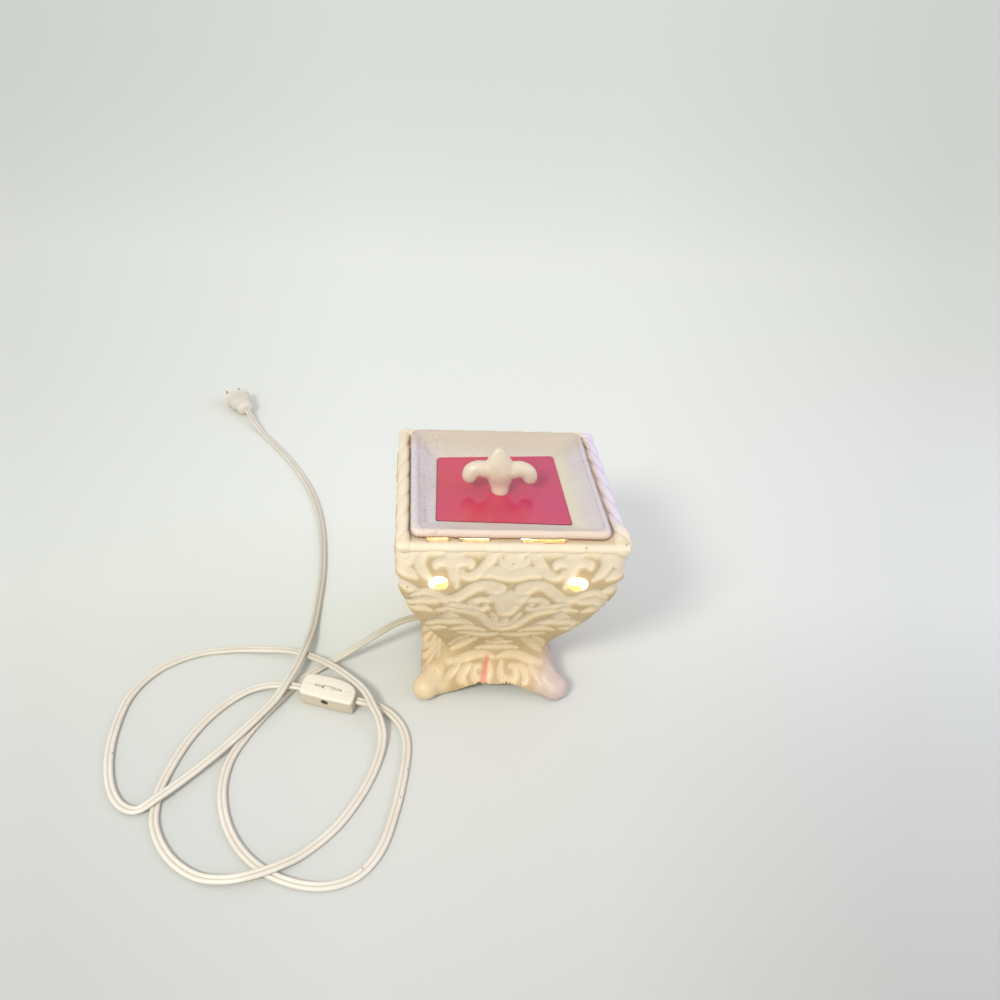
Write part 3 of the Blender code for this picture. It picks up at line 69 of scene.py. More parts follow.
# The damask's raised strokes: points (from the middle of a wall, height) and half widths, all in mm
DAMASK = [
    ([(0, 125), (0, 130), (0, 136)], [1.6, 4.2, 4.8]),
    ([(2, 126.5), (6.5, 129.5), (8, 133)], [1.4, 1.5, 0.6]),
    ([(0, 119.5), (5, 121.6), (10, 123), (16, 120)], [3.0, 4.0, 3.6, 0.7]),
    ([(10, 140), (12, 135), (15, 129), (19, 123), (24, 119.5), (28.5, 120.5), (29, 124)],
     [2.4, 2.6, 2.6, 2.6, 2.5, 2.0, 0.9]),
    ([(34, 127), (34, 132), (34, 137)], [3.2, 4.8, 3.6]),
    ([(34, 128.5), (39, 130), (43, 129.5), (44, 126.5)], [3.0, 2.6, 2.3, 1.0]),
    ([(34, 128.5), (29, 130), (25, 129.5), (24, 126.5)], [3.0, 2.6, 2.3, 1.0]),
    ([(34, 128), (33.6, 122), (32.4, 116), (31.5, 111)], [3.2, 2.4, 1.8, 0.9]),
    ([(50, 140), (52, 134), (53, 128), (50.5, 122), (47, 118)], [2.2, 2.5, 2.5, 2.3, 0.9]),
    ([(68, 124.5), (61, 123), (55, 118.5)], [3.6, 3.5, 0.9]),
    ([(68, 112), (60, 110.5), (53, 107)], [3.4, 3.0, 0.9]),
    ([(68, 129), (63.5, 131.5), (59.5, 136)], [5.6, 5.8, 4.6]),
    ([(8, 109), (14, 112.5), (20, 111.5), (26, 106), (32, 100.5), (38, 100), (44, 104.5), (50, 107),
      (57, 103)],
     [4.6, 3.3, 3.0, 3.0, 3.0, 2.8, 2.6, 2.4, 0.9]),
    ([(0, 88), (0, 96), (0, 101), (0, 107)], [5.0, 6.6, 5.0, 1.2]),
    ([(0, 97), (6, 99.5), (11.5, 102)], [5.0, 3.2, 1.0]),
    ([(12.5, 98.5), (17, 100), (21.5, 96.5), (20.5, 91.5), (16, 89), (12.8, 91.5), (14, 94.5)],
     [1.4, 2.2, 2.4, 2.4, 2.1, 1.7, 1.2]),
    ([(20.5, 91.5), (25, 91.8), (31, 94), (37.5, 93)], [2.2, 2.2, 2.0, 0.7]),
    ([(30, 88), (36, 89.5), (42, 88.5)], [0.9, 1.9, 0.8]),
    ([(43, 98), (50, 99), (56, 97), (62, 92)], [1.8, 2.8, 2.5, 0.8]),
    ([(46, 88), (52, 91), (58, 88)], [1.0, 2.4, 1.0]),
    ([(31, 88), (23, 86.5), (16, 82.5), (11.5, 76), (8.5, 70), (4.5, 65.6), (0, 64.3)],
     [0.8, 2.1, 2.3, 2.2, 1.9, 1.7, 1.5]),
    ([(8.5, 85), (6.6, 79.5), (5.8, 74), (3.8, 70), (0, 68.6)], [0.8, 1.5, 1.4, 1.2, 1.1]),
    ([(0, 73), (0, 77.5)], [2.6, 2.0]),
    ([(34, 77), (34, 81), (34, 85.5)], [3.0, 3.4, 1.3]),
    ([(34, 79), (29.5, 81)], [2.2, 0.8]),
    ([(34, 79), (38.5, 81)], [2.2, 0.8]),
    ([(34, 73), (29, 74.8), (24, 73), (19.5, 70)], [1.8, 2.8, 2.5, 0.8]),
    ([(34, 73), (39, 74.8), (44, 73), (48, 70)], [1.8, 2.8, 2.5, 0.8]),
    ([(11, 62), (18, 65.3), (25, 66), (32, 64)], [0.8, 2.2, 2.4, 0.8]),
    ([(36, 66), (42, 66), (47, 63)], [0.8, 2.2, 0.8]),
    ([(2, 57), (10, 55.5), (18, 57), (27, 59)], [1.0, 2.5, 2.4, 0.8]),
    ([(15, 50), (19, 45.5), (24, 38.5), (30, 32)], [0.9, 2.7, 2.6, 0.8]),
    ([(21, 52.5), (27, 46), (31, 38)], [0.8, 1.9, 0.8]),
    ([(0, 40), (0, 44), (0, 49.5)], [2.4, 3.2, 1.1]),
    ([(0, 41), (5, 42.3), (8.5, 44.5)], [2.0, 1.6, 0.7]),
    ([(0.5, 35), (7, 36.2), (13.5, 34.3)], [1.2, 2.3, 0.7]),
    ([(1.5, 26), (8, 28.6), (15, 28), (22, 25), (31, 23)], [1.0, 2.4, 2.7, 2.3, 0.8]),
    ([(4.2, 22.5), (3.6, 17), (6, 12.8), (11, 12.2), (14.3, 15), (13.8, 19), (10.5, 19.8)],
     [0.9, 1.7, 1.9, 1.9, 1.8, 1.5, 1.0]),
    ([(16.5, 20.5), (20.5, 17.5), (22, 13.5), (19.5, 11)], [0.9, 2.2, 2.0, 0.9]),
    ([(24, 20), (28.5, 17), (33, 12.5)], [0.9, 1.9, 0.8]),
]

# The run of wax down the front arch: height, distance from the middle and half width, all in mm
DRIP = [(27.5, -4.6, 1.3), (24, -5.0, 1.5), (18, -6.4, 1.6), (13, -7.0, 2.1), (9.6, -7.4, 2.2)]


def smooth_route(points, step):
    """Points of a smooth curve through a route, each stretch cut into pieces of about one step."""
    route = [Vector(point) for point in points]
    padded = [2 * route[0] - route[1]] + route + [2 * route[-1] - route[-2]]
    line = []
    for before, start, end, after in zip(padded, padded[1:], padded[2:], padded[3:]):
        length = (end - start).length
        lead_in = (end - before) * length / ((start - before).length + length)
        lead_out = (after - start) * length / ((after - end).length + length)
        pieces = max(1, round(length / step))
        for number in range(pieces):
            t = number / pieces
            line.append(start * (2 * t ** 3 - 3 * t ** 2 + 1) + lead_in * (t ** 3 - 2 * t ** 2 + t)
                        + end * (3 * t ** 2 - 2 * t ** 3) + lead_out * (t ** 3 - t ** 2))
    return line + [route[-1]]


WALL_LINE = smooth_route([(height, half, 0) for height, half in WALL_PROFILE], 0.5)
WALL_LINE = np.array([(point.x, point.y) for point in WALL_LINE])


def wall_half(height):
    """Half width of the body at a height."""
    return np.interp(height, WALL_LINE[:, 0], WALL_LINE[:, 1])


def soft_step(low, high, value):
    """Smooth rise from nought to one between two values."""
    t = np.clip((value - low) / (high - low), 0, 1)
    return t * t * (3 - 2 * t)


def damask_height(along, height):
    """Height of the carving, nought to one, at distances along a wall from its middle."""
    along = np.abs(along)
    raised = np.zeros(len(along))
    for points, widths in DAMASK:
        line = smooth_route([(x, z, width) for (x, z), width in zip(points, widths)], 0.9)
        line = np.array([tuple(point) for point in line])
        low, high = line[:, :2].min(0) - 9, line[:, :2].max(0) + 9
        near = (along > low[0]) & (along < high[0]) & (height > low[1]) & (height < high[1])
        near = np.flatnonzero(near)
        if not len(near):
            continue
        apart = np.hypot(along[near, None] - line[None, :, 0], height[near, None] - line[None, :, 1])
        inside = (line[None, :, 2] * 1.15 + 0.6 - apart).max(1)
        crown = 0.68 * soft_step(-0.8, 0.9, inside) + 0.32 * soft_step(0, 3.0, inside)
        raised[near] = np.maximum(raised[near], crown)
    return raised


def skin(shape, rings, closed=True, layer=None, values=None):
    """Extrudes the first ring of points through the others, and closes both ends or joins them in a loop."""
    corners = [shape.verts.new(point) for point in rings[0]]
    edges = [shape.edges.new(pair) for pair in zip(corners, corners[1:] + corners[:1])]
    if closed:
        shape.faces.new(corners)
    for number, ring in enumerate(rings):
        if number:
            fresh = set(bmesh.ops.extrude_edge_only(shape, edges=edges)["geom"])
            corners = [next(edge.other_vert(corner) for edge in corner.link_edges
                            if edge.other_vert(corner) in fresh) for corner in corners]
            edges = [shape.edges.get(pair) for pair in zip(corners, corners[1:] + corners[:1])]
        for place, corner in enumerate(corners):
            corner.co = ring[place]
            if values:
                corner[layer] = values[number][place]
    if closed:
        shape.faces.new(corners)
    else:
        bmesh.ops.remove_doubles(shape, verts=shape.verts, dist=1e-7)


def piece_from(name, shape, material, body, replaced=()):
    """Makes a finished bmesh a smooth piece that rides on a body."""
    bmesh.ops.recalc_face_normals(shape, faces=shape.faces)
    if shape.calc_volume(signed=True) < 0:
        bmesh.ops.reverse_faces(shape, faces=shape.faces)
    mesh = bpy.data.meshes.new(name)
    shape.to_mesh(mesh)
    shape.free()
    mesh.materials.append(material)
    mesh.shade_smooth()
    mesh.set_sharp_from_angle(angle=SHARP_ANGLE)
    piece = bpy.data.objects.new(name, mesh)
    bpy.context.scene.collection.objects.link(piece)
    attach(piece, body)
    if replaced:
        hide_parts(*replaced)
    return piece


def square_ring(half, corner, height, count):
    """Points of a level square with round corners, evenly spaced, from the middle of one side."""
    flat, arc = half - corner, corner * math.pi / 2
    side = 2 * flat + arc
    points = []
    for turn in range(4):
        for number in range(count):
            place = side * number / count - side / 2
            if abs(place) <= flat:
                x, y = half, place
            else:
                angle = (abs(place) - flat) / corner * math.copysign(1, place)
                x, y = flat + corner * math.cos(angle), math.copysign(flat, place) + corner * math.sin(angle)
            for _ in range(turn):
                x, y = -y, x
            points.append((x, y, height))
    return points


def arch_height(place):
    """Height of the wall's lower edge, along a wall from its middle."""
    return ARCH_FOOT + (ARCH_HEIGHT - ARCH_FOOT) * (1 - soft_step(ARCH_FLAT, ARCH_END, np.abs(place)))


def place_along(points):
    """Distance from the middle of the nearest wall, measured round the corners."""
    x, y = np.abs(points[:, 0]), np.abs(points[:, 1])
    near, far = np.minimum(x, y), np.maximum(x, y)
    flat = wall_half(points[:, 2]) - CORNER_ROUND
    angle = np.arctan2(np.maximum(near - flat, 0), np.maximum(far - flat, 0.01))
    return np.minimum(near, flat) + CORNER_ROUND * angle


def fit_ring(ring, half):
    """Stretches the flat sides of a plain ring to another half width, its corners as they are."""
    flat = PLAIN_HALF - CORNER_ROUND
    fitted = ring.copy()
    for axis in (0, 1):
        size = np.abs(ring[:, axis])
        stretched = np.minimum(size, flat) / flat * (half - CORNER_ROUND) + np.clip(size - flat, 0, None)
        fitted[:, axis] = np.sign(ring[:, axis]) * stretched
    return fitted


def swell_feet(points):
    """Pushes the lower corners out along rays from the axis until they lie on the feet's balls."""
    reach = np.hypot(points[:, 0], points[:, 1])
    x, y = np.abs(points[:, 0]) / reach, np.abs(points[:, 1]) / reach
    middle = FOOT_PLACE * (x + y)
    aside = FOOT_PLACE * np.abs(x - y)
    rise = np.abs(points[:, 2] - FOOT_HEIGHT)
    ball = FOOT_ROUND ** 2 - rise ** 2 - aside ** 2
    target = middle + np.sign(ball) * np.sqrt(np.abs(ball))
    gap = np.where(ball > 0, target, middle - np.sqrt(np.abs(ball))) - reach
    push = np.logaddexp(0, gap / FOOT_BLEND) * FOOT_BLEND
    grown = points.copy()
    grown[:, :2] *= (1 + push / reach)[:, None]
    return grown


def build_walls(layer, shape):
    """The walls inside and out, with ledge, floor and skirt, as one closed shell."""
    plain = np.array(square_ring(PLAIN_HALF, CORNER_ROUND, 0, AROUND))
    low = arch_height(place_along(fit_ring(plain, 44.0)))
    rings = []
    for row in range(ROWS + 1):
        height = low + (BODY_TOP - low) * row / ROWS
        ring = fit_ring(plain, wall_half(height))
        ring[:, 2] = height
        rings.append(swell_feet(ring))
    outer_rings = len(rings)
    inside = [(64.8, 8.2, BODY_TOP), (60.0, 7.0, BODY_TOP), (MOUTH_HALF + 0.5, 5.0, BODY_TOP),
              (MOUTH_HALF, 4.6, BODY_TOP - 0.5), (MOUTH_HALF, 4.6, BODY_TOP - LEDGE_THICK),
              (MOUTH_HALF + 2.5, 5.0, 132.6), (60.2, 6.0, 129.5)]
    inside += [(float(wall_half(height)) - WALL_THICK, 6.0, height)
               for height in (126, 118, 108, 98, 88, 78, 68, 58, 48, 40, 32, 26)]
    inner = float(wall_half(FLOOR_TOP)) - WALL_THICK
    inside += [(inner - 0.5, 6.5, 23.2), (inner - 2, 6.0, FLOOR_TOP), (20, 12, FLOOR_TOP),
               (5.4, 5.39, FLOOR_TOP), (5.2, 5.19, FLOOR_TOP - 0.2), (5.2, 5.19, FLOOR_UNDER + 0.2),
               (5.4, 5.39, FLOOR_UNDER), (16, 13, FLOOR_UNDER), (32.5, 19, FLOOR_UNDER)]
    rings += [np.array(square_ring(half, corner, height, AROUND)) for half, corner, height in inside]
    for half, share in ((34.0, 0.92), (36.0, 0.75), (38.4, 0.5), (40.0, 0.25), (40.6, 0.06)):
        ring = np.array(square_ring(half, 19.5, 0, AROUND))
        ring[:, 2] = low + 0.2 + (FLOOR_UNDER - low - 0.2) * share
        rings.append(ring)
    rings.append(rings[0])
    values = [[PLAIN_RELIEF] * len(plain)] * len(rings)
    skin(shape, [[tuple(point) for point in ring * MM] for ring in rings], False, layer, values)
    return outer_rings * len(plain)


def near_holes(points):
    """Distance from the edge of the nearest light hole."""
    x, y = np.abs(points[:, 0]), np.abs(points[:, 1])
    along = np.where(x < y, points[:, 0], points[:, 1])
    apart = np.min([np.abs(along - place) for place in LIGHT_PLACES], axis=0)
    return np.hypot(apart, points[:, 2] - LIGHT_HEIGHT) - LIGHT_ROUND


def carve(shape, outer_count, layer, painted_hole_glow, drip):
    """Raises the damask, keeps relief, the painted glow round the light holes and the wax run as attributes,
    and splays the feet.
    """
    shape.verts.ensure_lookup_table()
    shape.normal_update()
    outer = shape.verts[:outer_count]
    points = np.array([tuple(vert.co) for vert in outer]) / MM
    facing = np.array([tuple(vert.normal) for vert in outer])
    fade = soft_step(2.0, 8.0, points[:, 2])
    facing[:, 2] *= 1 - soft_step(132, 137, points[:, 2])
    grain = np.array([hills.fractal(Vector(point) * 0.09, 1.0, 2.0, 3) for point in points])
    fine = np.array([hills.fractal(Vector(point) * 0.45, 1.0, 2.0, 2) for point in points])
    foot = np.linalg.norm(np.abs(points) - (FOOT_PLACE, FOOT_PLACE, FOOT_HEIGHT), axis=1)
    calm = soft_step(FOOT_ROUND + 1, FOOT_ROUND + 9, foot)
    holes = np.maximum(near_holes(points), 0)
    relief = damask_height(place_along(points), points[:, 2]) * fade * calm
    brow = BROW * (1 + soft_step(-55, -64, points[:, 1]))
    relief = np.maximum(relief, brow * soft_step(131, 137, points[:, 2]))
    run = np.array(DRIP)[::-1]
    away = np.abs(points[:, 0] - np.interp(points[:, 2], run[:, 0], run[:, 1]))
    wide = np.interp(points[:, 2], run[:, 0], run[:, 2], left=2.0, right=0)
    wet = (1 - soft_step(-0.7, 0.7, away - wide + 0.8 * fine)) * (points[:, 1] < -20)
    wet *= 1 - soft_step(24, 29, points[:, 2])
    lift = (RELIEF * relief + (GRAIN * grain + FINE_GRAIN * fine) * fade + WAX_THICK * wet
            - HOLE_SINK * np.exp(-holes / HOLE_EDGE))
    moved = (points + facing * lift[:, None]) * MM
    relief = np.maximum(relief, 0.75 * (1 - calm))
    for vert, place, *marks in zip(outer, moved, relief, np.exp(-holes / PAINTED_GLOW_REACH), wet):
        vert.co = place
        vert[layer], vert[painted_hole_glow], vert[drip] = marks
    for vert in shape.verts:
        place = vert.co / MM
        splay = soft_step(12, 38, abs(place.x)) * soft_step(30, 8, place.z)
        vert.co.x -= SPLAY_LEFT * MM * splay
        vert.co.y -= SPLAY_FRONT * MM * splay * soft_step(-15, -40, place.y)


def mottle_group():
    """Shader group: cloudy variation, dark firing specks and fine pits, in the piece's own coordinates."""
    group = bpy.data.node_groups.new("glaze_mottle", "ShaderNodeTree")
    for name, default in (("Cloud Scale", 40.0), ("Speck Scale", 900.0), ("Speck Amount", 0.03)):
        socket = group.interface.new_socket(name, in_out='INPUT', socket_type='NodeSocketFloat')
        socket.default_value = default
    for name in ("Cloud", "Speck", "Pits"):
        group.interface.new_socket(name, in_out='OUTPUT', socket_type='NodeSocketFloat')
    nodes, links = group.nodes, group.links
    new, join = group.nodes.new, group.links.new
    given, result, where = new("NodeGroupInput"), new("NodeGroupOutput"), new("ShaderNodeTexCoord")
    cloud, pits, cells = new("ShaderNodeTexNoise"), new("ShaderNodeTexNoise"), new("ShaderNodeTexVoronoi")
    for texture in (cloud, cells, pits):
        join(where.outputs["Object"], texture.inputs["Vector"])
    cloud.inputs["Detail"].default_value = 6
    cloud.inputs["Roughness"].default_value = 0.6
    join(given.outputs["Cloud Scale"], cloud.inputs["Scale"])
    join(cloud.outputs["Fac"], result.inputs["Cloud"])
    join(given.outputs["Speck Scale"], cells.inputs["Scale"])
    chance = new("ShaderNodeSeparateColor")
    join(cells.outputs["Color"], chance.inputs["Color"])
    rare = new("ShaderNodeMath")
    rare.operation = 'LESS_THAN'
    join(chance.outputs["Red"], rare.inputs[0])
    join(given.outputs["Speck Amount"], rare.inputs[1])
    dot = new("ShaderNodeMapRange")
    dot.inputs["From Min"].default_value = 0.42
    dot.inputs["From Max"].default_value = 0.2
    join(cells.outputs["Distance"], dot.inputs["Value"])
    both = new("ShaderNodeMath")
    both.operation = 'MULTIPLY'
    join(rare.outputs["Value"], both.inputs[0])
    join(dot.outputs["Result"], both.inputs[1])
    join(both.outputs["Value"], result.inputs["Speck"])
    pits.inputs["Scale"].default_value = 420
    pits.inputs["Detail"].default_value = 4
    join(pits.outputs["Fac"], result.inputs["Pits"])
    return group


MOTTLE = mottle_group()


class Finish:
    """A material in the making: its shader, the mottle group's three values, and calls that add nodes."""

    def __init__(self, name, cloud_scale=None, speck_scale=900, speck_amount=0):
        self.material = bpy.data.materials.new(name)
        self.material.use_nodes = True
        self.nodes = self.material.node_tree.nodes
        self.inputs = self.nodes["Principled BSDF"].inputs
        if cloud_scale:
            group = self.nodes.new("ShaderNodeGroup")
            group.node_tree = MOTTLE
            group.inputs["Cloud Scale"].default_value = cloud_scale
            group.inputs["Speck Scale"].default_value = speck_scale
            group.inputs["Speck Amount"].default_value = speck_amount
            self.cloud, self.speck, self.pits = (group.outputs[name] for name in ("Cloud", "Speck", "Pits"))

    def feed(self, socket, value):
        """Gives a socket a link, a number or a plain colour."""
        if hasattr(value, "links"):
            self.material.node_tree.links.new(value, socket)
        elif socket.type == 'RGBA':
            socket.default_value = (*value, 1)
        else:
            socket.default_value = value

    def ramp(self, source, *stops):
        """A colour ramp fed by a value."""
        node = self.nodes.new("ShaderNodeValToRGB")
        elements = node.color_ramp.elements
        elements[0].position, elements[0].color = stops[0][0], (*stops[0][1], 1)
        elements[1].position, elements[1].color = stops[-1][0], (*stops[-1][1], 1)
        for place, colour in stops[1:-1]:
            elements.new(place).color = (*colour, 1)
        self.feed(node.inputs["Fac"], source)
        return node.outputs["Color"]

    def blend(self, mask, first, second):
        """Mixes two colours, each a socket or a plain colour, by a mask."""
        node = self.nodes.new("ShaderNodeMix")
        node.data_type = 'RGBA'
        self.feed(node.inputs["Factor"], mask)
        for name, value in (("A", first), ("B", second)):
            self.feed(next(s for s in node.inputs if s.name == name and s.type == 'RGBA'), value)
        return next(s for s in node.outputs if s.type == 'RGBA')

    def sum(self, kind, first, second=0.0):
        """Joins two values, each a socket or a number, by the kind of sum that is named."""
        node = self.nodes.new("ShaderNodeMath")
        node.operation = kind
        self.feed(node.inputs[0], first)
        self.feed(node.inputs[1], second)
        return node.outputs["Value"]

    def span(self, source, low, high, to_low=0.0, to_high=1.0):
        """Maps a value from one range to another and clamps it."""
        node = self.nodes.new("ShaderNodeMapRange")
        for name, value in (("From Min", low), ("From Max", high), ("To Min", to_low), ("To Max", to_high)):
            node.inputs[name].default_value = value
        self.feed(node.inputs["Value"], source)
        return node.outputs["Result"]

    def carried(self, name):
        """A value that the mesh carries."""
        node = self.nodes.new("ShaderNodeAttribute")
        node.attribute_name = name
        return node.outputs["Fac"]

    def axis(self, name):
        """One coordinate of a point of the piece, in metres."""
        split = self.nodes.new("ShaderNodeSeparateXYZ")
        self.feed(split.inputs["Vector"], self.nodes.new("ShaderNodeTexCoord").outputs["Object"])
        return split.outputs[name]

    def clouds(self, low, high, source=None):
        """A value that drifts between two limits with the clouds, or with another source."""
        return self.span(source or self.cloud, 0.3, 0.7, low, high)

    def done(self, colour, roughness, bumps, more=()):
        """Feeds the shader its colour, roughness, bumps and other inputs; the result is the material."""
        for name, value in (("Base Color", colour), ("Roughness", roughness), *more):
            self.feed(self.inputs[name], value)
        last = None
        for height, distance in bumps:
            bump = self.nodes.new("ShaderNodeBump")
            bump.inputs["Distance"].default_value = distance
            self.feed(bump.inputs["Height"], height)
            if last:
                self.feed(bump.inputs["Normal"], last)
            last = bump.outputs["Normal"]
        if last:
            self.feed(self.inputs["Normal"], last)
        return self.material


def translucent(weight, radius):
    """The shader inputs of a body that lets some light in: its weight, and its reach in mm per colour."""
    return ("Subsurface Weight", weight), ("Subsurface Radius", [reach * MM for reach in radius])


def body_glaze():
    """Cream glaze over the carving, tan in the hollows (glaze pooling and painted shade) and lower down, with
    specks, a run of pink wax, painted lavender light on the right of the rim and a painted glow round the
    light holes.
    """
    glaze = Finish("cream_carved_glaze", 55, 620, 0.008)
    # The relief picks the tone: hollows get the darker tan, which is glaze pooling and painted shade
    # together.
    level = glaze.sum('ADD', glaze.carried("relief"), glaze.sum('MULTIPLY', glaze.cloud, 0.5))
    x, y, z = (glaze.axis(name) for name in "XYZ")
    low = glaze.ramp(level, (0.2, (0.51, 0.365, 0.175)), (0.6, (0.635, 0.485, 0.27)),
                     (1.0, (0.69, 0.54, 0.325)))
    high = glaze.ramp(level, (0.2, (0.48, 0.36, 0.185)), (0.6, (0.63, 0.505, 0.315)),
                      (1.0, (0.74, 0.635, 0.46)))
    # cool: painted lavender light from the right, tinting the right rope, its knobs and the wall top below.
    cool = glaze.sum('MULTIPLY', glaze.span(x, 0.056, 0.062, 0, 0.85), glaze.span(z, 0.128, 0.137))
    cool = glaze.sum('MULTIPLY', cool, glaze.span(y, -0.058, -0.040))
    rosy = glaze.sum('MULTIPLY', glaze.span(x, 0.022, 0.036, 0, 0.7), glaze.span(z, 0.034, 0.018))
    colour = glaze.blend(glaze.span(z, 0.03, 0.135), low, high)
    drip = glaze.sum('MULTIPLY', glaze.carried("drip"), 0.8)
    for mask, tint in ((cool, (0.62, 0.56, 0.70)), (rosy, (0.52, 0.42, 0.41)),
                       (glaze.speck, (0.16, 0.1, 0.05)), (drip, (0.78, 0.26, 0.19))):
        colour = glaze.blend(mask, colour, tint)
    # Painted glow: the glaze round the light holes gives off light of its own, standing in for lamp light on
    # their edges.
    painted_hole_glow = glaze.sum('MULTIPLY', glaze.carried("painted_hole_glow"), 0.3)
    return glaze.done(colour, glaze.clouds(0.34, 0.5), ((glaze.pits, 0.0002), (glaze.cloud, 0.0008)),
                      (*translucent(0.15, (4, 3, 2)), ("Emission Color", (1.0, 0.62, 0.28)),
                       ("Emission Strength", painted_hole_glow)))


CREAM_GLAZE = body_glaze()


def cut_away(piece, shape):
    """Cuts a shape out of a piece for good."""
    bmesh.ops.recalc_face_normals(shape, faces=shape.faces)
    mesh = bpy.data.meshes.new("cutter")
    shape.to_mesh(mesh)
    shape.free()
    helper = bpy.data.objects.new("cutter", mesh)
    bpy.context.scene.collection.objects.link(helper)
    modifier = piece.modifiers.new("cut", 'BOOLEAN')
    modifier.operation, modifier.solver, modifier.object = 'DIFFERENCE', 'EXACT', helper
    settle(piece)
    bpy.data.objects.remove(helper)


def settle(piece):
    """Makes what a piece's modifiers show its own mesh."""
    graph = bpy.context.evaluated_depsgraph_get()
    graph.update()
    shown = bpy.data.meshes.new_from_object(piece.evaluated_get(graph), preserve_all_data_layers=True,
                                            depsgraph=graph)
    piece.modifiers.clear()
    old, piece.data = piece.data, shown
    bpy.data.meshes.remove(old)


def add_rod(shape, radius, start, end, sides=32):
    """Adds a cylinder between two points, in mm."""
    start, end = Vector(start), Vector(end)
    about = (end - start).to_track_quat('Z', 'Y').to_matrix().to_4x4()
    about = Matrix.Translation((start + end) / 2 * MM) @ about
    bmesh.ops.create_cone(shape, cap_ends=True, segments=sides, radius1=radius * MM, radius2=radius * MM,
                          depth=(end - start).length * MM, matrix=about)


def add_block(shape, low, high):
    """Adds a block between two corners, in mm."""
    low, high = Vector(low) * MM, Vector(high) * MM
    about = Matrix.Translation((low + high) / 2) @ Matrix.Diagonal((*(high - low), 1))
    bmesh.ops.create_cube(shape, size=1, matrix=about)


walls = bmesh.new()
layers = [walls.verts.layers.float.new(name) for name in ("relief", "painted_hole_glow", "drip")]
outer_count = build_walls(layers[0], walls)
carve(walls, outer_count, *layers)
body = piece_from("carved_body", walls, CREAM_GLAZE, "base", ["ceramic_body"])
openings = bmesh.new()
for place in LIGHT_PLACES:
    for side in (-1, 1):
        near, far = (side * reach for reach in LIGHT_CUT)
        add_rod(openings, LIGHT_ROUND, (near, place, LIGHT_HEIGHT), (far, place, LIGHT_HEIGHT), 40)
        add_rod(openings, LIGHT_ROUND, (place, near, LIGHT_HEIGHT), (place, far, LIGHT_HEIGHT), 40)
for place, long in VENTS:
    for side in (-1, 1):
        middle = Vector((place, side * VENT_PLACE, BODY_TOP))
        half = Vector((long / 2, VENT_HALF, VENT_DEEP))
        add_block(openings, middle - half, middle + half)
add_rod(openings, BUSH_HOLE, (-50, 0, BUSH_HEIGHT), (-20, 0, BUSH_HEIGHT))
cut_away(body, openings)
body.data.shade_smooth()
body.data.set_sharp_from_angle(angle=SHARP_ANGLE)


# The rim
# A two-strand rope on the left, right and rear of the rim, a low roll on the front that the damask
# runs up to, and a knob at each corner, all modelled in the same clay as the walls and glazed with them.

ROPE_ROUND, ROPE_LAY, ROPE_POINTS = 3.9, 19.2, 28
ROLL_WIDE, ROLL_TALL, ROLL_SUNK, ROLL_LEVEL = 3.0, 2.3, 1.8, 136.5
RIM_PLACE, RIM_HEIGHT, RIM_STEPS, KNOB_ROUND = 62.4, 138.9, 150, 5.6


def rim_bar(name, quarter, section):
    """A bar along one side of the rim, from its section's offsets and relief at each distance along it."""
    shape = bmesh.new()
    layer = shape.verts.layers.float.new("relief")
    about = Matrix.Rotation(math.radians(90) * quarter, 3, 'Z')
    rings, values = [], []
    for number in range(RIM_STEPS + 1):
        along = -RIM_PLACE + 2 * RIM_PLACE * number / RIM_STEPS
        ring = section(along)
        rings.append([about @ Vector((RIM_PLACE + out, along, RIM_HEIGHT + up)) * MM for out, up, _ in ring])
        values.append([relief for _, _, relief in ring])
    skin(shape, rings, True, layer, values)
    return piece_from(name, shape, CREAM_GLAZE, "base")


def rope_section(hand, groove, swell, seed):
    """The rope's section: two strands that turn round each other, thicker at one end, uneven by hand."""
    def section(along):
        end = swell * float(soft_step(-42, -50, along))
        ring = []
        for number in range(ROPE_POINTS):
            angle = math.tau * number / ROPE_POINTS
            strand = abs(math.cos(angle - hand * math.pi * along / ROPE_LAY)) ** 0.7
            uneven = hills.noise(Vector((along * 0.12, seed, angle * 0.4)))
            radius = ROPE_ROUND - groove * (1 - strand) + 0.25 * uneven + end
            # The grooves between strands take the hollows' darker tan: painted shade in the crease, with
            # glaze pooling.
            relief = min(1, 0.45 + 0.6 * strand)
            ring.append((radius * math.cos(angle), radius * math.sin(angle), relief))
        return ring
    return section


def roll_section(along):
    """The front roll's section: low, and swollen where a stroke of the damask runs up to it."""
    stroke = float(damask_height(np.array([along]), np.array([ROLL_LEVEL]))[0])
    uneven = hills.fractal(Vector((along * 0.08, 3.7, 0)), 1.0, 2.0, 3)
    wide, tall = ROLL_WIDE + 0.3 * stroke, ROLL_TALL + 0.3 * stroke + 0.3 * uneven
    ring = []
    for number in range(ROPE_POINTS):
        angle = math.tau * number / ROPE_POINTS
        out, up = (math.copysign(abs(part) ** 0.9, part) for part in (math.cos(angle), math.sin(angle)))
        ring.append((wide * out, tall * up - ROLL_SUNK, 0.75 + 0.25 * stroke))
    return ring


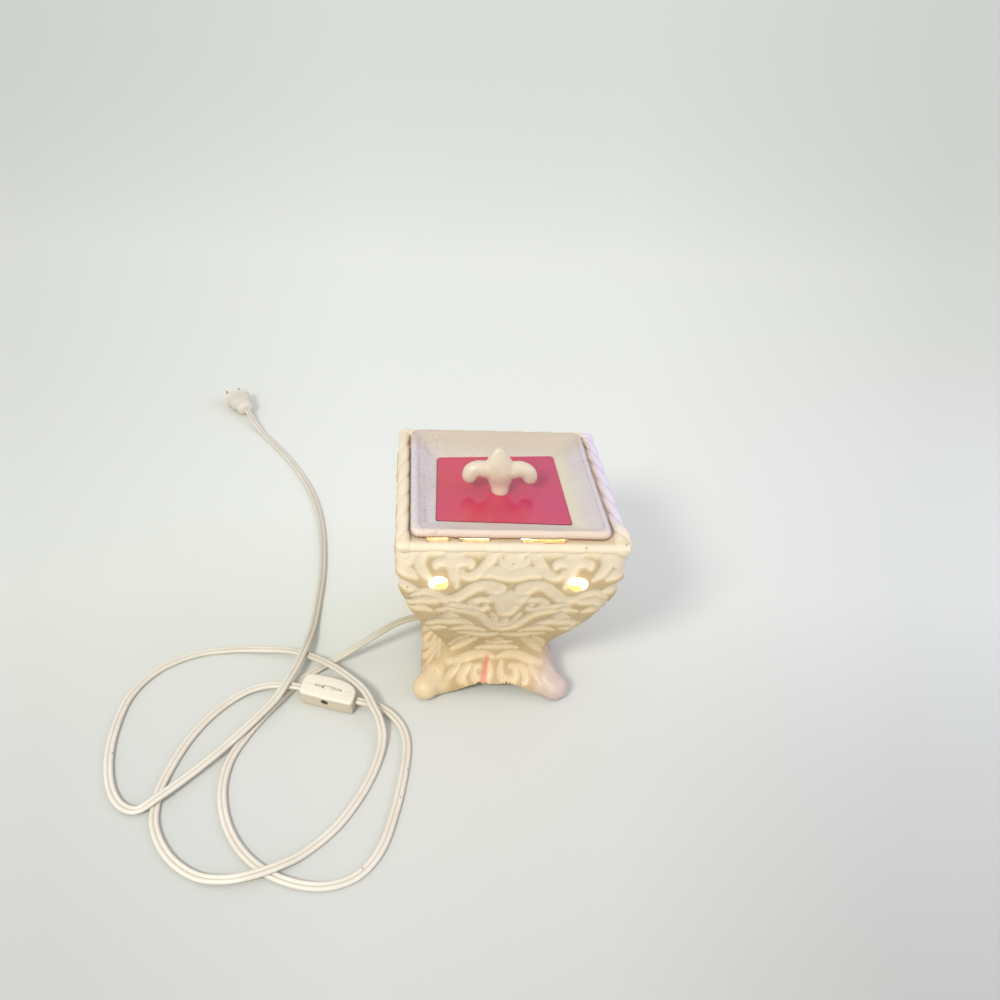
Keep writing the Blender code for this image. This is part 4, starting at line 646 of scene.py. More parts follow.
for quarter, name, hand, groove, swell in ((0, "rope_right", 1, 2.0, 1.2), (1, "rope_rear", 1, 1.6, 0),
                                           (2, "rope_left", -1, 0.55, 0)):
    rim_bar(name, quarter, rope_section(hand, groove, swell, quarter * 5.0))
rim_bar("rim_roll_front", 3, roll_section)
knobs = bmesh.new()
knob_layer = knobs.verts.layers.float.new("relief")
for x, y, share in ((-1, -1, 0.86), (-1, 1, 0.8), (1, -1, 0.96), (1, 1, 0.8)):
    front = y < 0
    ball = bmesh.ops.create_uvsphere(knobs, u_segments=40, v_segments=24, radius=KNOB_ROUND * share * MM)
    ball = ball["verts"]
    for vert in ball:
        square = max(abs(vert.co.x), abs(vert.co.y)) / max(vert.co.xy.length, 1e-9)
        if front:
            vert.co.xy *= 0.92 / (0.6 + 0.4 * square)
            vert.co.z *= 0.5 if vert.co.z > 0 else 1.1
        else:
            vert.co.z *= 0.8
    place = Vector((x * (RIM_PLACE - 0.6), y * (RIM_PLACE - 0.6), RIM_HEIGHT - (0.6 if front else 0))) * MM
    bmesh.ops.translate(knobs, vec=place, verts=ball)
knobs.normal_update()
for vert in knobs.verts:
    vert.co += vert.normal * 0.0006 * hills.fractal(vert.co * 140, 1.0, 2.0, 3)
    vert[knob_layer] = KNOB_RELIEF
piece_from("rim_knobs", knobs, CREAM_GLAZE, "base")


# The foot pads
# Four grey-beige rubber discs stuck under the feet.

PAD_ROUND, PAD_THICK = 4.5, 1.0


def turn_round(shape, profile, steps, centre=(0, 0, 0), axis=(0, 0, 1)):
    """Spins (radius, height) points, in mm, about an axis; the outline closes where it keeps off the axis."""
    up = Vector(axis)
    about = Matrix.Translation(Vector(centre) * MM) @ up.to_track_quat('Z', 'Y').to_matrix().to_4x4()
    points = [shape.verts.new(about @ (Vector((radius, 0, height)) * MM)) for radius, height in profile]
    edges = [shape.edges.new(pair) for pair in zip(points, points[1:])]
    if profile[0][0] > 0 and profile[-1][0] > 0:
        edges.append(shape.edges.new((points[-1], points[0])))
    bmesh.ops.spin(shape, geom=points + edges, cent=Vector(centre) * MM, axis=up, angle=math.tau, steps=steps,
                   use_merge=True)
    bmesh.ops.remove_doubles(shape, verts=shape.verts, dist=1e-7)


def plain_material(name, first, second, roughness, cloud_scale=60, bump=0.0002, metallic=0.0):
    """A material with two tones in clouds, uneven roughness and a fine grain."""
    made = Finish(name, cloud_scale)
    return made.done(made.ramp(made.cloud, (0.35, first), (0.65, second)),
                     made.clouds(roughness - 0.06, roughness + 0.06), ((made.pits, bump),),
                     (("Metallic", metallic),))


PAD_RUBBER = plain_material("pad_rubber", (0.5, 0.47, 0.4), (0.58, 0.55, 0.48), 0.8)
pads = bmesh.new()
for x in (-FOOT_PLACE, FOOT_PLACE):
    for y in (-FOOT_PLACE, FOOT_PLACE):
        turn_round(pads, [(0, 0), (PAD_ROUND - 0.3, 0), (PAD_ROUND - 0.1, 0.1), (PAD_ROUND, 0.3),
                          (PAD_ROUND, PAD_THICK), (0, PAD_THICK)], 36, (x, y, 0))
pad_nodes = [f"foot_pad_{end}_{side}" for end in ("front", "rear") for side in ("left", "right")]
piece_from("foot_pads", pads, PAD_RUBBER, "base", pad_nodes)


# The lamp socket
# A black moulded socket with a threaded brass shell, its two terminal screws, and the hollow steel
# nipple, fibre washer and nut that hold it to the floor of the body.

THREAD_ROUND, THREAD_DEPTH, THREAD_PITCH = 5.95, 0.45, 2.54
SCREW_PLACE, SCREW_HEIGHT = 13.1, 31
NUT_ROUND, NUT_THICK, NUT_HEIGHT = 8.08, 3.3, 13.55


def add_threaded_tube(shape, inner, outer, low, high, pitch, depth, threads, bore_thread=False):
    """Adds a tube with a rounded helical thread between two heights, outside, or inside for a bore."""
    count, rows = 48, max(8, round((high - low) / pitch * 12))
    heights = [low + (high - low) * row / rows for row in range(rows + 1)]
    rings = []
    for radius, threaded, order in ((outer, not bore_thread, heights), (inner, bore_thread, heights[::-1])):
        for height in order:
            ring = []
            for number in range(count):
                angle = math.tau * number / count
                wave = 0.5 - 0.5 * math.cos(math.tau * height / pitch - angle)
                wave *= threads[0] <= height <= threads[1]
                reach = radius - (depth * wave if threaded else 0)
                ring.append(Vector((reach * math.cos(angle), reach * math.sin(angle), height)) * MM)
            rings.append(ring)
    skin(shape, rings + [rings[0]], False)


def turned_piece(name, node, profile, steps, material, body, slot, *where):
    """Makes a piece of one profile spun about an axis."""
    shape = bmesh.new()
    turn_round(shape, profile, steps, *where)
    return piece_from(name, shape, material, body, [node])


def drill(piece, *rods):
    """Cuts rods out of a piece, each given as add_rod takes it."""
    shape = bmesh.new()
    for rod in rods:
        add_rod(shape, *rod)
    cut_away(piece, shape)


def mill(piece, *blocks):
    """Cuts blocks out of a piece, each given by its two corners."""
    shape = bmesh.new()
    for low, high in blocks:
        add_block(shape, low, high)
    cut_away(piece, shape)


SOCKET_BLACK = plain_material("socket_phenolic", (0.012, 0.011, 0.01), (0.022, 0.02, 0.018), 0.38)
BRASS = plain_material("brass", (0.62, 0.42, 0.16), (0.74, 0.53, 0.24), 0.3, 90, 0.00005, 1.0)
STEEL = plain_material("zinc_steel", (0.5, 0.5, 0.52), (0.63, 0.63, 0.64), 0.36, 110, 0.00005, 1.0)
FIBRE = plain_material("fibre_washer", (0.28, 0.12, 0.06), (0.4, 0.2, 0.11), 0.75)

socket_profile = [(5.2, 22.3), (14.7, 22.3), (15, 22.6), (15, 25.2), (14.6, 25.7), (14, 25.9), (13.4, 25.9),
                  (12.9, 26.3), (12.8, 27), (12.8, 35.5), (12.3, 36), (12.3, 37), (12.8, 37.5), (12.8, 50.6),
                  (12.5, 51.6), (11.6, 52.2), (10.8, 52.3), (7.6, 52.3), (7.3, 52), (7.3, 34), (0, 34),
                  (0, 30), (5.2, 30)]
socket_body = turned_piece("lamp_socket", "socket_body", socket_profile, 64, SOCKET_BLACK, "base",
                           "socket_phenolic")
drill(socket_body, *[(1.6, (0, side * 9, SCREW_HEIGHT), (0, side * 18, SCREW_HEIGHT)) for side in (-1, 1)])

shell = bmesh.new()
add_threaded_tube(shell, 6.7, 7.0, 34.4, 52.4, THREAD_PITCH, THREAD_DEPTH, (40.5, 51.8), True)
turn_round(shell, [(3.2, 34.3), (6.85, 34.3), (6.85, 34.8), (3.2, 34.8)], 48)
piece_from("socket_brass_shell", shell, BRASS, "base", ["socket_shell"])
turned_piece("socket_centre_contact", "socket_contact",
             [(0, 34.3), (2.2, 34.3), (2.2, 34.9), (1.9, 35.3), (1.1, 35.7),
              (0, 35.8)], 36, BRASS, "base", "brass")
screw_profile = [(0, -3.4), (1.0, -3.4), (1.3, -3.1), (1.3, -0.2), (1.4, 0), (2.7, 0), (2.8, 0.2), (2.8, 0.7),
                 (2.4, 1.15), (1.6, 1.38), (0, 1.4)]
for side, end in ((-1, "front"), (1, "rear")):
    screw = turned_piece(f"terminal_{end}", f"terminal_screw_{end}", screw_profile, 32, STEEL, "base",
                         "zinc_steel", (0, side * SCREW_PLACE, SCREW_HEIGHT), (0, side, 0))
    mill(screw, ((-3.5, side * 14.6 - 0.9, 30.65), (3.5, side * 14.6 + 0.9, 31.35)))

nipple = bmesh.new()
add_threaded_tube(nipple, 3.1, 4.9, 10.4, 29.7, 1.1, 0.3, (10.8, 29.3))
piece_from("hollow_nipple", nipple, STEEL, "base", ["threaded_nipple"])
turned_piece("fibre_washer", "nipple_washer",
             [(5.2, 15.5), (11.8, 15.5), (12, 15.7), (12, 16.5), (11.8, 16.7),
              (5.2, 16.7)], 48, FIBRE, "base",
             "fibre_washer")
nut = bmesh.new()
bmesh.ops.create_cone(nut, cap_ends=True, segments=6, radius1=NUT_ROUND * MM, radius2=NUT_ROUND * MM,
                      depth=NUT_THICK * MM, matrix=Matrix.Translation((0, 0, NUT_HEIGHT * MM)))
nut_piece = piece_from("hex_nut", nut, STEEL, "base", ["nipple_nut"])
drill(nut_piece, (5.2, (0, 0, 8), (0, 0, 18), 48))
chamfer = bmesh.new()
turn_round(chamfer, [(7.2, 9), (11, 9), (11, 18), (7.2, 18), (7.9, 14.7), (7.9, 12.4)], 48)
cut_away(nut_piece, chamfer)


# The lamp
# A white-coated globe lamp on a candelabra screw cap, lit. It fills the chamber with warm light that
# shows at the round holes, whose glazed edges also carry a painted glow, and under the lip of the dish.

LAMP_FOOT, GLASS_THICK = 36.1, 0.7
GLOBE_ROUND, GLOBE_CENTRE, NECK_ROUND = 25.0, 51.0, 4.5


def glowing(name, cloud_scale, cool, warm, strength, roughness):
    """A material that gives light, in two tones that drift with its clouds."""
    made = Finish(name, cloud_scale)
    tone = made.ramp(made.cloud, (0.3, cool), (0.7, warm))
    return made.done(tone, made.clouds(*roughness, made.pits), ((made.pits, 0.00003),),
                     (("Emission Color", tone), ("Emission Strength", made.clouds(*strength))))


def add_swept(shape, line, section, layer=None, value=None):
    """Adds a tube that follows a line, level side up, with a ring of (aside, up) offsets at every point."""
    rings, values = [], []
    for number, point in enumerate(line):
        ahead = (line[min(number + 1, len(line) - 1)] - line[max(number - 1, 0)]).normalized()
        aside = ahead.cross(Vector((0, 0, 1))).normalized()
        up = aside.cross(ahead)
        rings.append([(point + aside * across + up * rise) * MM for across, rise in section])
        values.append(value)
    skin(shape, rings, True, layer, values if value else None)


def round_section(radius, count):
    """Offsets of a round section."""
    return [(radius * math.cos(math.tau * number / count), radius * math.sin(math.tau * number / count))
            for number in range(count)]


globe = bmesh.new()
outline = [(NECK_ROUND, 9), (NECK_ROUND, 18), (5.9, 20.2), (7.5, 23.2)]
outline += [(GLOBE_ROUND * math.cos(angle), GLOBE_CENTRE + GLOBE_ROUND * math.sin(angle))
            for angle in (math.radians(-68 + 158 * number / 26) for number in range(26))]
inner = [(radius - GLASS_THICK * min(1, radius / 5),
          height + (0.0 if height < 50 else -GLASS_THICK * (height - 50) / 26)) for radius, height in outline]
globe_top = GLOBE_CENTRE + GLOBE_ROUND
profile = outline + [(0, globe_top), (0, globe_top - GLASS_THICK)] + inner[::-1]
turn_round(globe, [(radius, height + LAMP_FOOT) for radius, height in profile], 72)
LIT_GLASS = glowing("lit_coated_glass", 30, (1.0, 0.9, 0.76), (1.0, 0.93, 0.83), (92, 104), (0.12, 0.2))
piece_from("lamp_globe", globe, LIT_GLASS, "lamp", ["lamp_glass"])

cap = bmesh.new()
add_threaded_tube(cap, 4.8, THREAD_ROUND, LAMP_FOOT + 3.6, LAMP_FOOT + 17, THREAD_PITCH, THREAD_DEPTH,
                  (LAMP_FOOT + 4.2, LAMP_FOOT + 16))
piece_from("lamp_screw_cap", cap, BRASS, "lamp", ["lamp_cap"])
turned_piece("lamp_cap_bead", "lamp_insulator",
             [(0, 37.3), (2.6, 37.3), (4.0, 38.9), (4.2, 39.7), (4.2, 41.2),
              (0, 41.2)], 40, SOCKET_BLACK, "lamp",
             "cap_insulator")
turned_piece("lamp_tip_contact", "lamp_tip",
             [(0, 36.1), (0.9, 36.15), (1.7, 36.35), (2.2, 36.8), (2.2, 37.0), (0, 37.0)], 32, STEEL, "lamp",
             "zinc_steel")

clear = Finish("clear_stem_glass", 120)
CLEAR_GLASS = clear.done(clear.ramp(clear.cloud, (0.3, (0.95, 0.97, 0.96)), (0.7, (1.0, 1.0, 1.0))),
                         clear.clouds(0.02, 0.06), ((clear.pits, 0.00003),), (("Transmission Weight", 1.0),))
turned_piece("lamp_glass_stem", "lamp_stem",
             [(0, 47.5), (3.4, 47.5), (3.5, 47.7), (3.3, 49.0), (3.0, 51.2), (2.4, 54.5), (2.2, 57.5),
              (2.2, 73.3), (1.9, 73.8), (1.1, 74.1), (0, 74.1)], 32, CLEAR_GLASS, "lamp", "clear_glass")
for side, end in ((-1, "left"), (1, "right")):
    wire = bmesh.new()
    route = [(side * 1.0, 0, 74.6), (side * 2.6, 0, 77.1), (side * 7.5, 0, 83.1), (side * 8.4, 0, 85.2)]
    add_swept(wire, smooth_route(route, 0.8), round_section(0.35, 12))
    piece_from(f"support_wire_{end}", wire, STEEL, "lamp", [f"lamp_wire_{end}"])
filament = bmesh.new()
route = [(-8.5, 0, 86.1), (-4.25, 0, 87.5), (4.25, 0, 87.5), (8.5, 0, 86.1)]
coil = [point + Vector((0, 0.32 * math.cos(number * 0.9), 0.32 * math.sin(number * 0.9)))
        for number, point in enumerate(smooth_route(route, 0.12))]
add_swept(filament, coil, round_section(0.12, 6))
HOT_WIRE = glowing("hot_filament", 300, (1.0, 0.55, 0.2), (1.0, 0.72, 0.35), (6, 9), (0.4, 0.6))
piece_from("coiled_filament", filament, HOT_WIRE, "lamp", ["lamp_filament"])


# The inlet
# A white nylon bush that grips the flat lead at the waist of the left wall, and behind it the lead's
# two cores, which part and run to the socket's screws.

NYLON = plain_material("white_nylon", (0.78, 0.75, 0.68), (0.84, 0.81, 0.74), 0.45)
bush_profile = [(0, -8.2), (4.2, -8.2), (4.6, -7.8), (5.7, -6.1), (4.9, -6.1), (4.9, 0), (6.2, 0),
                (6.5, 0.3), (6.5, 1.9), (6.2, 2.4), (5.8, 2.5), (4.6, 2.6), (4.3, 3.0), (4.25, 3.6),
                (4.0, 3.9), (4.2, 4.3), (4.15, 4.9), (3.9, 5.2), (4.05, 5.6), (4.0, 6.2), (3.8, 6.5),
                (3.85, 7.0), (3.8, 8.2), (3.5, 8.5), (0, 8.5)]
turned_piece("inlet_bush", "cord_bush", bush_profile, 48, NYLON, "base", "white_nylon",
             (-35.6, 0, BUSH_HEIGHT), (-1, 0, 0))
for side, end in ((-1, "front"), (1, "rear")):
    core = bmesh.new()
    route = [(-27, side * 1.6, 29), (-24, side * 2.2, 29), (-18, side * 9.9, 30), (-10.1, side * 13.8, 31),
             (-3.1, side * 13.8, 31)]
    add_swept(core, smooth_route(route, 1.0), round_section(1.1, 16))
    piece_from(f"cord_core_{end}", core, NYLON, "base", [f"core_{end}"])


# The lead
# Flat two-core flex in ivory vinyl with a groove down its middle, 5.4 mm wide and 2.7 mm thick. It
# falls from the bush to the switch in one stretch and runs on in loops to the plug in another.

LEAD_RADIUS, LEAD_HALF, WEB_HALF, GROOVE_HALF = 1.35, 1.35, 0.7, 0.35

# The lead's middle line in mm; a point without a height lies on the table
ON_TABLE = 1.6
ROUTE_TO_SWITCH = [
    (-44.4, 0, 29), (-48.4, 0, 29), (-56, -1, 28.4), (-67, -3.5, 25.5), (-78, -8, 21), (-91, -12.6, 14),
    (-102, -16.3, 8), (-111, -19.6, 4), (-120, -25.2, 2), (-130.8, -35.5), (-148.3, -61.9), (-160.6, -85),
    (-166.6, -102.7), (-167.2, -123), (-161.4, -144.2), (-151, -161.5), (-136.8, -174.5), (-119, -182.8),
    (-100.8, -184.9), (-84.5, -179), (-72.7, -163.7), (-65, -138), (-60, -110), (-58.7, -88.7),
    (-62.4, -74.9, 1.9), (-70.5, -64.8, 3.2), (-80, -60.2, 5.4), (-87.908, -59.154, 6.9),
    (-91.733, -57.985, 6.9)]
ROUTE_TO_PLUG = [
    (-128.267, -46.815, 6.9), (-132.092, -45.646, 6.9), (-139, -44.1, 6), (-150, -42.9, 4.9),
    (-162.6, -45.5, 3.2), (-173.6, -52.8, 1.8), (-185.3, -67.5), (-194.3, -85.4), (-200.6, -106.5),
    (-203.4, -127), (-200.4, -147.5), (-188, -166.7), (-171, -178.4, 1.8), (-155, -181.6, 3.6),
    (-141, -180, 5), (-128, -174.6, 4.2), (-115.5, -166, 1.9), (-99.7, -150.6), (-89.1, -134.4),
    (-81.1, -117.3), (-75.6, -99.3, 1.9), (-73.9, -85, 4), (-76.4, -74.1, 7.8), (-81.1, -64, 9.6),
    (-87, -51.6, 9.8), (-97.6, -39, 8.8), (-110.6, -26.2, 7), (-124.9, -16, 5.3), (-141.2, -10, 5),
    (-160, -7.3, 3.2), (-181.7, -6.3, 1.8), (-206, -11), (-227.9, -25.9), (-240, -48), (-242.5, -72.3),
    (-240, -98), (-233, -120), (-223.6, -133.4, 1.8), (-212.6, -138.2, 3), (-202.9, -131.9, 5),
    (-188, -115, 4.1), (-175, -100, 4.8), (-164.6, -86, 5), (-153.7, -70.6, 5.8), (-144.2, -57, 7.8),
    (-139.3, -45.7, 9.2), (-134.4, -30.2, 8.8), (-131, -15.5, 8.6), (-128.5, 1.6, 6.4), (-127.3, 20, 2.8),
    (-126.6, 45), (-126.5, 75), (-128, 103), (-131.5, 135), (-138.5, 170.7), (-147.5, 200), (-159.5, 228),
    (-174.5, 256.5), (-191.4, 283.8), (-205, 304, 1.9), (-216, 321, 4.6)]


def vinyl_finish():
    """Ivory vinyl, with painted shade in the groove and where the body shades it, and faint handling marks.
    """
    made = Finish("ivory_vinyl_flex", 45, 500, 0.006)
    shade = made.sum('MULTIPLY', made.span(made.axis("X"), -0.16, -0.09, 0, 0.8),
                     made.span(made.axis("Y"), -0.035, 0.0))
    tone = made.ramp(made.cloud, (0.3, (0.64, 0.59, 0.48)), (0.7, (0.70, 0.655, 0.56)))
    # Painted shade darkens the groove between the two cores.
    tone = made.blend(made.sum('MULTIPLY', made.carried("groove"), 0.4), tone, (0.3, 0.26, 0.17))
    tone = made.blend(made.speck, made.blend(shade, tone, (0.40, 0.36, 0.24)), (0.35, 0.3, 0.2))
    return made.done(tone, made.clouds(0.36, 0.48), ((made.pits, 0.00008),), translucent(0.1, (2, 1.6, 1)))


IVORY_VINYL = vinyl_finish()
twin_section, twin_groove = [], []
for number in range(28):
    angle = math.tau * number / 28
    across, up = math.cos(angle) * (LEAD_HALF + LEAD_RADIUS), math.sin(angle)
    offset = min(LEAD_RADIUS, abs(abs(across) - LEAD_HALF))
    rise = math.sqrt(max(0.0, LEAD_RADIUS ** 2 - offset ** 2))
    rise = max(rise, WEB_HALF if abs(across) < LEAD_HALF else 0.0)
    twin_section.append((across, math.copysign(rise, up) if abs(up) > 1e-6 else 0.0))
    twin_groove.append(1.0 if abs(across) < GROOVE_HALF else 0.0)

PLUG_FACE, PLUG_TURN, PLUG_RISE, PLUG_LONG = Vector((-242.4, 369.7, 0)), math.radians(118), 8.8, 29.0
LAST_STRAIGHT, LEAD_GAP = 4.3, 0.3
plug_ahead = Vector((math.cos(PLUG_TURN), math.sin(PLUG_TURN), 0))
plug_tail = PLUG_FACE - plug_ahead * PLUG_LONG + Vector((0, 0, PLUG_RISE))
lead_lines = {"lead_to_switch": ROUTE_TO_SWITCH,
              "lead_to_plug": ROUTE_TO_PLUG + [plug_tail - plug_ahead * back
                                               for back in (LAST_STRAIGHT, LEAD_GAP)]}
for name, cad_name in (("lead_to_switch", "lead_warmer_to_switch"), ("lead_to_plug", "lead_switch_to_plug")):
    stretch = bmesh.new()
    groove = stretch.verts.layers.float.new("groove")
    lead_lines[name] = smooth_route([(*point, ON_TABLE)[:3] for point in lead_lines[name]], 2.5)
    add_swept(stretch, lead_lines[name], twin_section, groove, twin_groove)
    piece_from(name, stretch, IVORY_VINYL, "base", [cad_name])


# The switch
# A cream thumbwheel switch moulded in two halves that meet along the lead, drawn together by one
# screw, which is also the axle of the knurled wheel in the slot along its top.

SWITCH_PLACE, SWITCH_TURN, SWITCH_KEEL, SEAM = Vector((-110.0, -52.4, 0)), math.radians(-17), 0.8, 0.13
SWITCH_EDGE = [(18.7, -3), (17.9, 2.3), (15.4, 5.6), (11.3, 8.0), (5.8, 9.3), (-1, 9.7), (-13, 9.2),
               (-17.6, 8.2), (-18.6, 6.6), (-18.7, 0), (-17.4, -7.4), (-16.2, -8.7), (3, -9.3), (17.6, -9.0),
               (18.6, -8.2)]
AXLE_HEIGHT, WHEEL_ROUND, WHEEL_WIDE, WHEEL_BORE, WHEEL_TEETH = 7.3, 6.0, 3.0, 1.38, 28
WELL_HALF, SLOT_LONG, GRIP_PLACES, PIT_PLACE = 1.8, 8.4, (4.9, 5.7, 6.5, 7.3), 8.6


def switch_outline(share, shrink):
    """The switch seen from above: straight along the front, bowed behind and narrower at the right rear."""
    return [(x * (1 - shrink / 18.7), y * share * (1 - shrink / 9.3)) for x, y in SWITCH_EDGE]


def plastic_finish():
    """Cream moulded plastic with a soft sheen, darker below the shoulder as painted shade."""
    made = Finish("cream_moulded_plastic", 70, 600, 0.004)
    tone = made.ramp(made.cloud, (0.3, (0.75, 0.69, 0.55)), (0.7, (0.80, 0.745, 0.62)))
    # Below the shoulder the tone is darker: painted shade on the sides that face away from the light.
    tone = made.blend(made.span(made.axis("Z"), 0.0118, 0.0105), tone, (0.58, 0.50, 0.37))
    tone = made.blend(made.speck, tone, (0.3, 0.25, 0.16))
    return made.done(tone, made.clouds(0.3, 0.42), ((made.pits, 0.0001),), translucent(0.08, (2, 1.6, 1)))


CREAM_PLASTIC = plastic_finish()
in_switch = Matrix.Translation(SWITCH_PLACE * MM) @ Matrix.Rotation(SWITCH_TURN, 4, 'Z')
levels = [(0.3, SWITCH_KEEL - 0.08, 1.0), (0.6, SWITCH_KEEL - 0.03, 0.35), (1.3, SWITCH_KEEL + 0.01, 0.0)]
levels += [(1.3 + 10.8 * step / 10, SWITCH_KEEL + 0.01 + (0.99 - SWITCH_KEEL - 0.01) * step / 10, 0)
           for step in range(1, 11)]
levels += [(12.5, 0.99, 0.12), (12.8, 0.98, 0.4), (13.0, 0.97, 1.0)]
slot_blocks = [((-SLOT_LONG / 2, -WELL_HALF, 11.6), (SLOT_LONG / 2, WELL_HALF, 15))]
for place in (-1, 1):
    slot_blocks.append(((place * PIT_PLACE - 0.7, -1.0, 11.4), (place * PIT_PLACE + 0.7, 1.0, 15)))
    slot_blocks += [((place * grip - 0.2, -1.3, 12.4), (place * grip + 0.2, 1.3, 15)) for grip in GRIP_PLACES]
for end, other_half in (("front", ((-30, -SEAM, -5), (30, 30, 20))),
                        ("rear", ((-30, -30, -5), (30, SEAM, 20)))):
    half = bmesh.new()
    skin(half, [[Vector((x, y, height)) * MM for x, y in switch_outline(share, shrink)]
                for height, share, shrink in levels])
    piece = piece_from(f"switch_shell_{end}", half, CREAM_PLASTIC, "base", [f"switch_half_{end}"])
    mill(piece, other_half)
    drill(piece, (WHEEL_ROUND + 0.5, (0, -WELL_HALF, AXLE_HEIGHT), (0, WELL_HALF, AXLE_HEIGHT), 48))
    mill(piece, ((-5.4, -WELL_HALF, 10.4), (5.4, WELL_HALF, 11.8)))
    mill(piece, *slot_blocks)
    drill(piece, (1.6, (0, -12, AXLE_HEIGHT), (0, 5.5, AXLE_HEIGHT), 32))
    if end == "front":
        drill(piece, (2.6, (0, -12, AXLE_HEIGHT), (0, -6.05, AXLE_HEIGHT), 40))
    piece.data.transform(in_switch)
    piece.data.set_sharp_from_angle(angle=math.radians(35))

wheel = bmesh.new()
rings = []
for across, outer, knurl in ((-WHEEL_WIDE / 2, WHEEL_ROUND - 0.35, 0.5), (-1.25, WHEEL_ROUND, 0.5),
                             (1.25, WHEEL_ROUND, 0.5), (WHEEL_WIDE / 2, WHEEL_ROUND - 0.35, 0.5),
                             (WHEEL_WIDE / 2, WHEEL_BORE, 0), (-WHEEL_WIDE / 2, WHEEL_BORE, 0)):
    ring = []
    for number in range(WHEEL_TEETH * 8):
        angle = math.tau * number / (WHEEL_TEETH * 8)
        radius = outer - knurl * (0.5 - 0.5 * math.cos(math.tau * number / 8)) ** 0.6
        point = Vector((radius * math.cos(angle), across, AXLE_HEIGHT + radius * math.sin(angle)))
        ring.append(in_switch @ (point * MM))
    rings.append(ring)
skin(wheel, rings + [rings[0]], False)
piece_from("thumbwheel", wheel, CREAM_PLASTIC, "thumbwheel", ["switch_thumbwheel"])
# The screw's steel is painted dark to stand in for the shade in its recess.
SHADED_SCREW_STEEL = plain_material("screw_steel_painted_shade", (0.05, 0.045, 0.04), (0.11, 0.1, 0.09), 0.5, 110, 0.00005, 0.7)
bolt_profile = [(0, -11.0), (1.1, -11.0), (1.3, -10.8), (1.3, 0), (2.2, 0), (2.3, 0.15), (2.3, 0.8),
                (2.0, 1.2), (1.4, 1.4), (0, 1.4)]
bolt_piece = turned_piece("switch_bolt", "switch_screw", bolt_profile, 36, SHADED_SCREW_STEEL, "base", "zinc_steel",
                          (0, -6.35, AXLE_HEIGHT), (0, -1, 0))
mill(bolt_piece, ((-3, -8.4, AXLE_HEIGHT - 0.3), (3, -7.1, AXLE_HEIGHT + 0.3)))
bolt_piece.data.transform(in_switch)
for low, high, end in ((-14.0, -7.5, "left"), (7.5, 14.0, "right")):
    leaf = bmesh.new()
    add_block(leaf, (low, -0.3, 5.6), (high, 0.3, 9.0))
    bmesh.ops.bevel(leaf, geom=list(leaf.edges), offset=0.12 * MM, segments=2, profile=0.5, affect='EDGES',
                    material=-1)
    bmesh.ops.transform(leaf, matrix=in_switch, verts=leaf.verts)
    piece_from(f"contact_leaf_{end}", leaf, BRASS, "base",
                                    [f"switch_contact_{end}"])


# The plug
# A moulded vinyl plug with a rounded flange, a soft grip and a round collar, and two flat brass
# blades, one wider than the other.

BLADES = {"neutral": (-6.35, 7.9), "live": (6.35, 6.3)}
plug_middle = (PLUG_FACE + Vector((0, 0, PLUG_RISE))) * MM
in_plug = Matrix.Translation(plug_middle) @ Matrix.Rotation(PLUG_TURN, 4, 'Z')


def rounded_section(half_wide, half_tall, power, count=64):
    """Offsets of a squared oval."""
    ring = []
    for number in range(count):
        angle = math.tau * number / count
        x, y = (math.copysign(abs(part) ** (2 / power), part) for part in (math.cos(angle), math.sin(angle)))
        ring.append((half_wide * x, half_tall * y))
    return ring


plug = bmesh.new()
plug.verts.layers.float.new("groove")
grip = [(0, 11.7, 8.0, 3.6), (0.2, 12.2, 8.5, 3.6), (0.8, 12.5, 8.8, 3.6), (2.2, 12.5, 8.8, 3.6),
        (2.8, 12.2, 8.5, 3.6), (3.1, 11.4, 8.0, 3.6), (3.5, 10.8, 7.7, 3.5), (5, 10.6, 7.5, 3.4),
        (8, 10.5, 7.2, 3.3), (11, 10.4, 7.1, 3.2), (13, 10.3, 7.3, 3.1), (15, 9.7, 7.3, 2.9),
        (16.6, 8.9, 7.2, 2.6), (17.3, 8.5, 7.2, 2.4), (17.9, 8.4, 7.25, 2.3), (18.6, 8.5, 7.3, 2.3),
        (21, 8.4, 7.2, 2.2), (24, 8.2, 7.0, 2.2), (26.4, 7.8, 6.6, 2.2), (27.8, 7.0, 5.9, 2.2),
        (28.6, 6.0, 5.0, 2.2), (29, 4.8, 4.0, 2.2)]
stations = smooth_route([(back, wide, tall) for back, wide, tall, _ in grip], 0.6)
powers = np.interp([station.x for station in stations], [g[0] for g in grip], [g[3] for g in grip])
skin(plug, [[in_plug @ (Vector((-station.x, across, up)) * MM)
             for across, up in rounded_section(station.y, station.z, power)]
            for station, power in zip(stations, powers)])
plug_piece = piece_from("plug_moulding", plug, IVORY_VINYL, "base", ["plug_body"])
roots = bmesh.new()
for place, wide in BLADES.values():
    add_block(roots, (-6.3, place - 1.05, -wide / 2 - 0.3), (1, place + 1.05, wide / 2 + 0.3))
bmesh.ops.transform(roots, matrix=in_plug, verts=roots.verts)
cut_away(plug_piece, roots)
for label, (place, wide) in BLADES.items():
    blade = bmesh.new()
    rings = []
    for along, shrink in ((-6, 0), (13, 0), (15, 0.25), (16.4, 0.9), (17.2, 1.9), (17.5, 2.8)):
        flat, thick = wide / 2 - shrink, 0.75 - min(0.35, shrink * 0.16)
        rings.append([Vector((along, place + across, up)) * MM
                      for across, up in rounded_section(thick, flat, 6, 32)])
    skin(blade, rings)
    piece = piece_from(f"blade_{label}", blade, BRASS, "base", [f"plug_blade_{label}"])
    drill(piece, (1.6, (13, place - 3, 0), (13, place + 3, 0), 32))
    piece.data.transform(in_plug)


